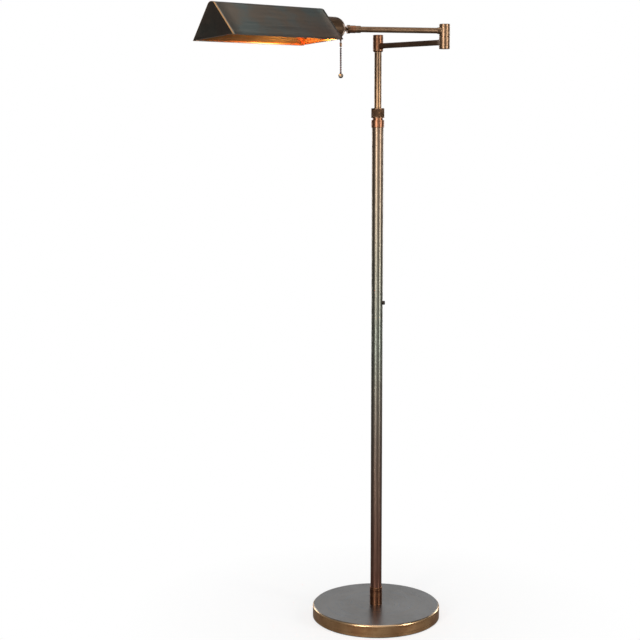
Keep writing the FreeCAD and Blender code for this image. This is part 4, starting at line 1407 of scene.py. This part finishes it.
@dataclass
class Head:
    """The ball swivel, the lampholder cup, the lampholder and the bulb."""

    cup_centre: float = 35.0 * MM
    cup_radius: float = 19.8 * MM
    cup_length: float = 28.5 * MM
    cup_wall: float = 1.2 * MM
    stud_radius: float = 2.25 * MM
    glass_radius: float = 17.5 * MM
    glass_length: float = 78.0 * MM
    glass_start: float = 81.05 * MM
    cup_lip: float = 0.4 * MM
    groove_back: float = 3.2 * MM
    groove_front: float = 2.4 * MM
    groove_depth: float = 0.3 * MM
    groove_slope: float = 0.2 * MM
    cap_behind: float = 22.05 * MM
    cap_radius: float = 7.0 * MM
    cap_skirt: float = 19.2 * MM
    cap_length: float = 21.8 * MM
    thread_radius: float = 6.4 * MM
    thread_from: float = 4.0 * MM
    thread_pitch: float = 2.4 * MM
    thread_width: float = 2.0 * MM
    thread_rise: float = 0.55 * MM
    thread_slope: float = 0.8 * MM
    thread_turns: int = 6
    ring_radius: float = 19.0 * MM
    ring_bore: float = 13.85 * MM
    ring_start: float = 64.35 * MM
    ring_thick: float = 5.0 * MM
    rib_edge: float = 0.2 * MM
    rib_sink: float = 0.965

    def build_cup(self) -> bpy.types.Object:
        """Builds the spun cup: a half-round back, a straight wall and a rolled lip.

        Returns:
            The cup.
        """
        outer, wall = self.cup_radius, self.cup_wall
        inner = outer - wall
        front = self.cup_length
        start_deg = -90 + math.degrees(math.asin(self.stud_radius / outer))
        inner_deg = -90 + math.degrees(math.asin(self.stud_radius / inner))
        outline = arc((0, 0), outer, start_deg, 0, steps=20)
        outline += groove(outer, front - self.groove_back, front - self.groove_front, self.groove_depth,
                          self.groove_slope)
        outline += [(outer, front - self.cup_lip), (outer - self.cup_lip, front), (inner, front)]
        outline += arc((0, 0), inner, 0, inner_deg, steps=20)
        outline += outline[:1]
        place = head_place() @ Matrix.Translation((self.cup_centre, 0, 0))
        return turn_piece("lampholder_cup_spun", outline, along_x(place), sides=72)

    def build_glass(self) -> bpy.types.Object:
        """Builds the candle-shaped opal glass.

        Returns:
            The glass.
        """
        length, radius = self.glass_length, self.glass_radius
        outline = [(0.0, 0.0)] + [(share * radius, along * length) for along, share in CANDLE]
        place = head_place() @ Matrix.Translation((self.glass_start, 0, 0))
        return turn_piece("bulb_glass_candle", outline, along_x(place), sides=48)

    def build_cap(self) -> bpy.types.Object:
        """Builds the bulb's screw cap with its rolled thread and its solder tip.

        Returns:
            The cap.
        """
        outline = list(SOLDER_TIP)
        for turn in range(self.thread_turns):
            start = self.thread_from + turn * self.thread_pitch
            outline += groove(self.thread_radius, start, start + self.thread_width, -self.thread_rise,
                              self.thread_slope)
        outline += [(self.cap_radius, self.cap_skirt), (self.cap_radius, self.cap_length),
                    (0.0, self.cap_length)]
        place = head_place() @ Matrix.Translation((self.glass_start - self.cap_behind, 0, 0))
        return turn_piece("bulb_cap_threaded", outline, along_x(place), sides=40)

    def build_ring(self) -> bpy.types.Object:
        """Builds the ribbed ring that clamps the shade to the lampholder.

        Returns:
            The ring.
        """
        thick, sink = self.ring_thick, self.rib_sink
        deselect_all()
        bpy.ops.mesh.primitive_cylinder_add(vertices=96, radius=self.ring_radius, depth=thick,
                                            end_fill_type="NGON", location=(0, 0, thick / 2))
        ring = bpy.context.active_object
        ring.name = "shade_ring_ribbed"
        bpy.ops.object.transform_apply(location=True, rotation=True, scale=True)
        edit(ring, "DESELECT")
        bpy.ops.mesh.select_mode(type="FACE")
        close_edit()
        for index, face in enumerate(f for f in ring.data.polygons if abs(f.normal.z) < 0.5):
            face.select = index % 2 == 0
        edit_kept(ring)
        bpy.ops.mesh.inset(thickness=self.rib_edge, use_individual=True)
        bpy.ops.transform.resize(value=(sink, sink, 1.0), center_override=(0, 0, thick / 2))
        close_edit()
        cut_bore(ring, self.ring_bore, thick)
        return finish_piece(ring, along_x(head_place() @ Matrix.Translation((self.ring_start, 0, 0))))

    def dress(self, finishes: Finishes) -> None:
        """Gives the head its finishes.

        Args:
            finishes: The lamp's finishes.
        """
        dress(finishes.swivel_copper, "swivel_housing")
        dress(finishes.swivel_dark, "swivel_retainer", "swivel_ball")
        dress(finishes.nylon, "swivel_seat")
        dress(finishes.steel, "stud_nut", "cup_screw", "lampholder_shell")
        dress(finishes.boss, "cup_boss")
        dress(finishes.holder, "switch_body", "lampholder_body")
        dress(finishes.brass, "lampholder_contact")
        dress(finishes.chain, "chain_guide")
        seat(self.build_cup(), finishes.cup, "head", "cup_bronze", "socket_cup")
        seat(self.build_glass(), finishes.glow, "head", "bulb_opal", "bulb_glass")
        seat(self.build_cap(), finishes.steel, "head", "bulb_cap_nickel", "bulb_cap")
        seat(self.build_ring(), finishes.holder, "head", "holder_brown", "shade_ring")


@dataclass
class Shade:
    """The folded sheet shade: a rounded-V canopy and two end plates."""

    start: float = 63.5 * MM
    length: float = 243.0 * MM
    width: float = 102.0 * MM
    height: float = 57.5 * MM
    ridge_radius: float = 10.5 * MM
    sheet: float = 0.8 * MM
    lip: float = 4.0 * MM
    rim_below_axis: float = 25.0 * MM
    fit: float = 0.05 * MM
    seam_inset: float = 4.4 * MM
    seam_width: float = 0.7 * MM
    seam_height: float = 0.12 * MM
    holder_hole: float = 14.0 * MM
    flange: float = 4.0 * MM
    hole_cutter: float = 8.0 * MM
    edge_bevel: float = 0.22 * MM
    panel_inset: float = 3.2 * MM
    panel_slope: float = 0.5 * MM
    panel_sink: float = 0.25 * MM
    arc_steps: int = 14
    slope_steps: int = 6
    runs: int = 12
    smooth_deg: float = 30.0

    def outline(self, inset: float, floor: float) -> Outline:
        """Gives the rounded-V line from one rim over the ridge to the other.

        Args:
            inset: How far inside the shade's outer face the line runs.
            floor: The height above the rim at which it ends.

        Returns:
            The line's (across, height) points, with heights from the shade's axis.
        """
        half, centre = self.width / 2, self.height - self.ridge_radius
        slope = math.atan2(centre, half) + math.asin(self.ridge_radius / math.hypot(half, centre))
        radius = self.ridge_radius - inset
        touch_y, touch_h = radius * math.sin(slope), centre + radius * math.cos(slope)
        foot_y = touch_y + (touch_h - floor) / math.tan(slope)
        slope_deg = math.degrees(slope)
        ridge = arc((0, centre), radius, 90 + slope_deg, 90 - slope_deg, self.arc_steps)
        slopes = self.slope_steps
        left = [(-foot_y + (foot_y - touch_y) * n / slopes, floor + (touch_h - floor) * n / slopes)
                for n in range(slopes)]
        right = [(-y, h) for y, h in reversed(left)]
        return [(y, h - self.rim_below_axis) for y, h in left + ridge + right]

    def build_canopy(self, outside: bpy.types.Material, inside: bpy.types.Material) -> bpy.types.Object:
        """Builds the canopy: its section is drawn, extruded with its seams, and given its wall.

        Args:
            outside: The finish of the outer face.
            inside: The finish of the inner face.

        Returns:
            The canopy.
        """
        line = self.outline(0.0, 0.0)
        rim = line[0][1]
        line = [(line[0][0] + self.lip, rim)] + line + [(line[-1][0] - self.lip, rim)]
        points = [Vector((self.start, y, h)) for y, h in line]
        canopy = start_vertex("shade_canopy_folded", points[0])
        draw_line(points)
        bpy.ops.mesh.select_all(action="SELECT")
        bpy.ops.mesh.select_mode(type="EDGE")
        at = self.start
        for station, lift in self.stations():
            bpy.ops.mesh.extrude_edges_move(TRANSFORM_OT_translate={"value": (station - at, 0, 0)})
            bpy.ops.transform.resize(value=(1, lift, lift), center_override=(station, 0, 0))
            at = station
        tidy_shell()
        close_edit()
        canopy.data.materials.append(outside)
        canopy.data.materials.append(inside)
        apply_modifier(canopy, "SOLIDIFY", thickness=self.sheet, offset=-1.0, material_offset=1,
                       use_even_offset=True)
        apply_modifier(canopy, "BEVEL", width=self.edge_bevel, segments=2, limit_method="ANGLE",
                       angle_limit=math.radians(50))
        return finish_piece(canopy, head_place(), self.smooth_deg)

    def stations(self) -> list[tuple[float, float]]:
        """Gives the places along the shade where its section is extruded, and the scale of each step there.

        Returns:
            (place, scale) for each extrusion.
        """
        rise = 1 + self.seam_height / (self.height - self.rim_below_axis)
        seam, half = self.seam_inset, self.seam_width / 2
        start, end = self.start, self.start + self.length
        near = [(start + seam - half, 1.0), (start + seam, rise), (start + seam + half, 1 / rise)]
        far = [(end - seam - half, 1.0), (end - seam, rise), (end - seam + half, 1 / rise), (end, 1.0)]
        first, last = near[-1][0], far[0][0]
        middle = [(first + (last - first) * n / self.runs, 1.0) for n in range(1, self.runs)]
        return near + middle + far

    def build_plate(self, name: str, face_at: float, inward: float, outside: bpy.types.Material,
                    inside: bpy.types.Material) -> bpy.types.Object:
        """Builds an end plate: a flat face with a flange folded into the shade.

        Args:
            name: The plate's name.
            face_at: Where its outer face lies along the shade.
            inward: 1 where the shade lies beyond the face, -1 where it lies before it.
            outside: The finish of the outer face.
            inside: The finish of the inner face.

        Returns:
            The plate.
        """
        inset = self.sheet + self.fit
        line = self.outline(inset, inset)
        points = [Vector((face_at + inward * self.flange, y, h)) for y, h in line]
        plate = start_vertex(name, points[0])
        draw_line(points + points[:1])
        bpy.ops.mesh.select_all(action="SELECT")
        bpy.ops.mesh.remove_doubles(threshold=0.001 * MM)
        bpy.ops.mesh.select_mode(type="EDGE")
        bpy.ops.mesh.extrude_edges_move(TRANSFORM_OT_translate={"value": (-inward * self.flange, 0, 0)})
        bpy.ops.mesh.edge_face_add()
        bpy.ops.mesh.inset(thickness=self.panel_inset)
        bpy.ops.mesh.inset(thickness=self.panel_slope, depth=-self.panel_sink)
        tidy_shell()
        close_edit()
        plate.data.materials.append(outside)
        plate.data.materials.append(inside)
        apply_modifier(plate, "SOLIDIFY", thickness=self.sheet, offset=-1.0, material_offset=1,
                       use_even_offset=True)
        return plate

    def build_free_end(self, finishes: Finishes) -> bpy.types.Object:
        """Builds the closed plate at the free end.

        Args:
            finishes: The lamp's finishes.

        Returns:
            The plate.
        """
        # The free end plate takes the darker copy of the shade's finish, which is painted shade.
        plate = self.build_plate("shade_end_free", self.start + self.length, -1.0, finishes.free_end_shaded_copy,
                                 finishes.shade_inside)
        return finish_piece(plate, head_place(), self.smooth_deg)

    def build_inner_end(self, finishes: Finishes) -> bpy.types.Object:
        """Builds the plate at the cup, with its hole for the lampholder.

        Args:
            finishes: The lamp's finishes.

        Returns:
            The plate.
        """
        plate = self.build_plate("shade_end_inner", self.start, 1.0, finishes.shade, finishes.shade_inside)
        deselect_all()
        bpy.ops.mesh.primitive_cylinder_add(vertices=72, radius=self.holder_hole, depth=self.hole_cutter,
                                            location=(self.start, 0, 0), rotation=(0, math.pi / 2, 0))
        cut_with_active(plate)
        return finish_piece(plate, head_place(), self.smooth_deg)

    def dress(self, finishes: Finishes) -> None:
        """Builds the shade in its finishes.

        Args:
            finishes: The lamp's finishes.
        """
        canopy = self.build_canopy(finishes.shade, finishes.shade_inside)
        seat(canopy, finishes.shade, "head", "shade_bronze", "shade_canopy")
        seat(self.build_free_end(finishes), finishes.free_end_shaded_copy, "head", "shade_bronze", "shade_free_end")
        seat(self.build_inner_end(finishes), finishes.shade, "head", "shade_bronze", "shade_inner_end")


@dataclass
class PullChain:
    """The pull rod, the coupler, the bead chain and its ball."""

    bead_radius: float = 1.75 * MM
    pitch: float = 3.9 * MM
    link_radius: float = 1.15 * MM
    link_overlap: float = 0.2 * MM
    mouth: float = 1.2
    mouth_top: float = 0.4 * MM
    mouth_foot: float = 0.3 * MM
    ball_radius: float = 4.4 * MM
    ring_radius: float = 1.3 * MM
    ring_foot: float = 1.9 * MM
    ring_sink: float = 0.1 * MM
    ring_drop: float = 0.5 * MM
    ring_deg: float = 62.0
    seam_deg: float = 3.0
    seam_depth: float = 0.16 * MM
    coupler_radius: float = 2.1 * MM
    coupler_tip: float = 0.2 * MM
    coupler_round: float = 0.2 * MM
    crimps: tuple[float, ...] = (0.36, 0.5, 0.64)
    crimp_half: float = 0.5 * MM
    crimp_depth: float = 0.3 * MM
    crimp_slope: float = 0.35 * MM

    def build_beads(self) -> bpy.types.Object:
        """Builds one hollow-looking bead with its link and repeats it down the chain.

        Returns:
            The chain.
        """
        low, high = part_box("pull_chain")
        axis = box_centre("pull_chain")
        radius, link = self.bead_radius, self.link_radius
        count = round((high.z - low.z - 2 * radius) / self.pitch) + 1
        pitch = (high.z - low.z - 2 * radius) / (count - 1)
        lean = math.degrees(math.asin(self.mouth * link / radius))
        top, foot = radius - self.mouth_top, radius - pitch - self.link_overlap
        outline = [(0.0, top), (link, top)] + arc((0, 0), radius, 90 - lean, -90 + lean, steps=10)
        outline += [(link, -radius + self.mouth_foot), (link, foot), (0.0, foot)]
        bead = turn_piece("pull_chain_beads", outline, Matrix.Identity(4), sides=18)
        apply_modifier(bead, "ARRAY", count=count, use_relative_offset=False, use_constant_offset=True,
                       constant_offset_displace=(0, 0, -pitch))
        return finish_piece(bead, Matrix.Translation((axis.x, axis.y, high.z - radius)))

    def build_ball(self) -> bpy.types.Object:
        """Builds the pull ball with its neck ring and its seam.

        Returns:
            The ball.
        """
        axis = box_centre("pull_ball")
        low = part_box("pull_ball")[0]
        radius = self.ball_radius
        top, seam = radius - self.ring_sink, self.seam_deg
        outline = [(0.0, top), (self.ring_radius, top), (self.ring_foot, radius - self.ring_drop)]
        outline += arc((0, 0), radius, self.ring_deg, seam, steps=10)
        outline += [(radius - self.seam_depth, 0.0)]
        outline += arc((0, 0), radius, -seam, -90, steps=14)
        place = Matrix.Translation((axis.x, axis.y, low.z + radius))
        return turn_piece("pull_ball_turned", outline, place, sides=40)

    def build_coupler(self) -> bpy.types.Object:
        """Builds the coupler barrel with its crimp grooves.

        Returns:
            The coupler.
        """
        low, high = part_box("chain_coupler")
        axis = box_centre("chain_coupler")
        height = high.z - low.z
        wide, tip, ease = self.coupler_radius, self.coupler_tip, self.coupler_round
        cone = wide - tip
        outline = [(0.0, 0.0), (tip, 0.0), (wide - ease, cone - ease), (wide, cone + ease)]
        for share in self.crimps:
            middle = height * share
            outline += groove(wide, middle - self.crimp_half, middle + self.crimp_half, self.crimp_depth,
                              self.crimp_slope)
        outline += [(wide, height - cone - ease), (wide - ease, height - cone + ease), (tip, height),
                    (0.0, height)]
        place = Matrix.Translation((axis.x, axis.y, low.z))
        return turn_piece("chain_coupler_crimped", outline, place, sides=32)

    def dress(self, finishes: Finishes) -> None:
        """Builds the pull switch's hanging pieces in their finishes.

        Args:
            finishes: The lamp's finishes.
        """
        dress(finishes.chain, "pull_rod")
        seat(self.build_coupler(), finishes.swivel_dark, "coupler", "chain_bronze", "chain_coupler")
        seat(self.build_beads(), finishes.chain, "chain", "chain_bronze", "pull_chain")
        seat(self.build_ball(), finishes.ball, "chain", "chain_bronze", "pull_ball")


def main() -> None:
    """Builds the camera, the studio and every sub-assembly in order."""
    logging.basicConfig(level=logging.INFO, format="%(name)s: %(message)s")
    Camera().build()
    Studio().build()
    finishes = Finishes()
    Base().dress(finishes)
    Pole().dress(finishes)
    HeightLock().dress(finishes)
    Arms().dress(finishes)
    Head().dress(finishes)
    Shade().dress(finishes)
    PullChain().dress(finishes)


if __name__ == "__main__":
    main()
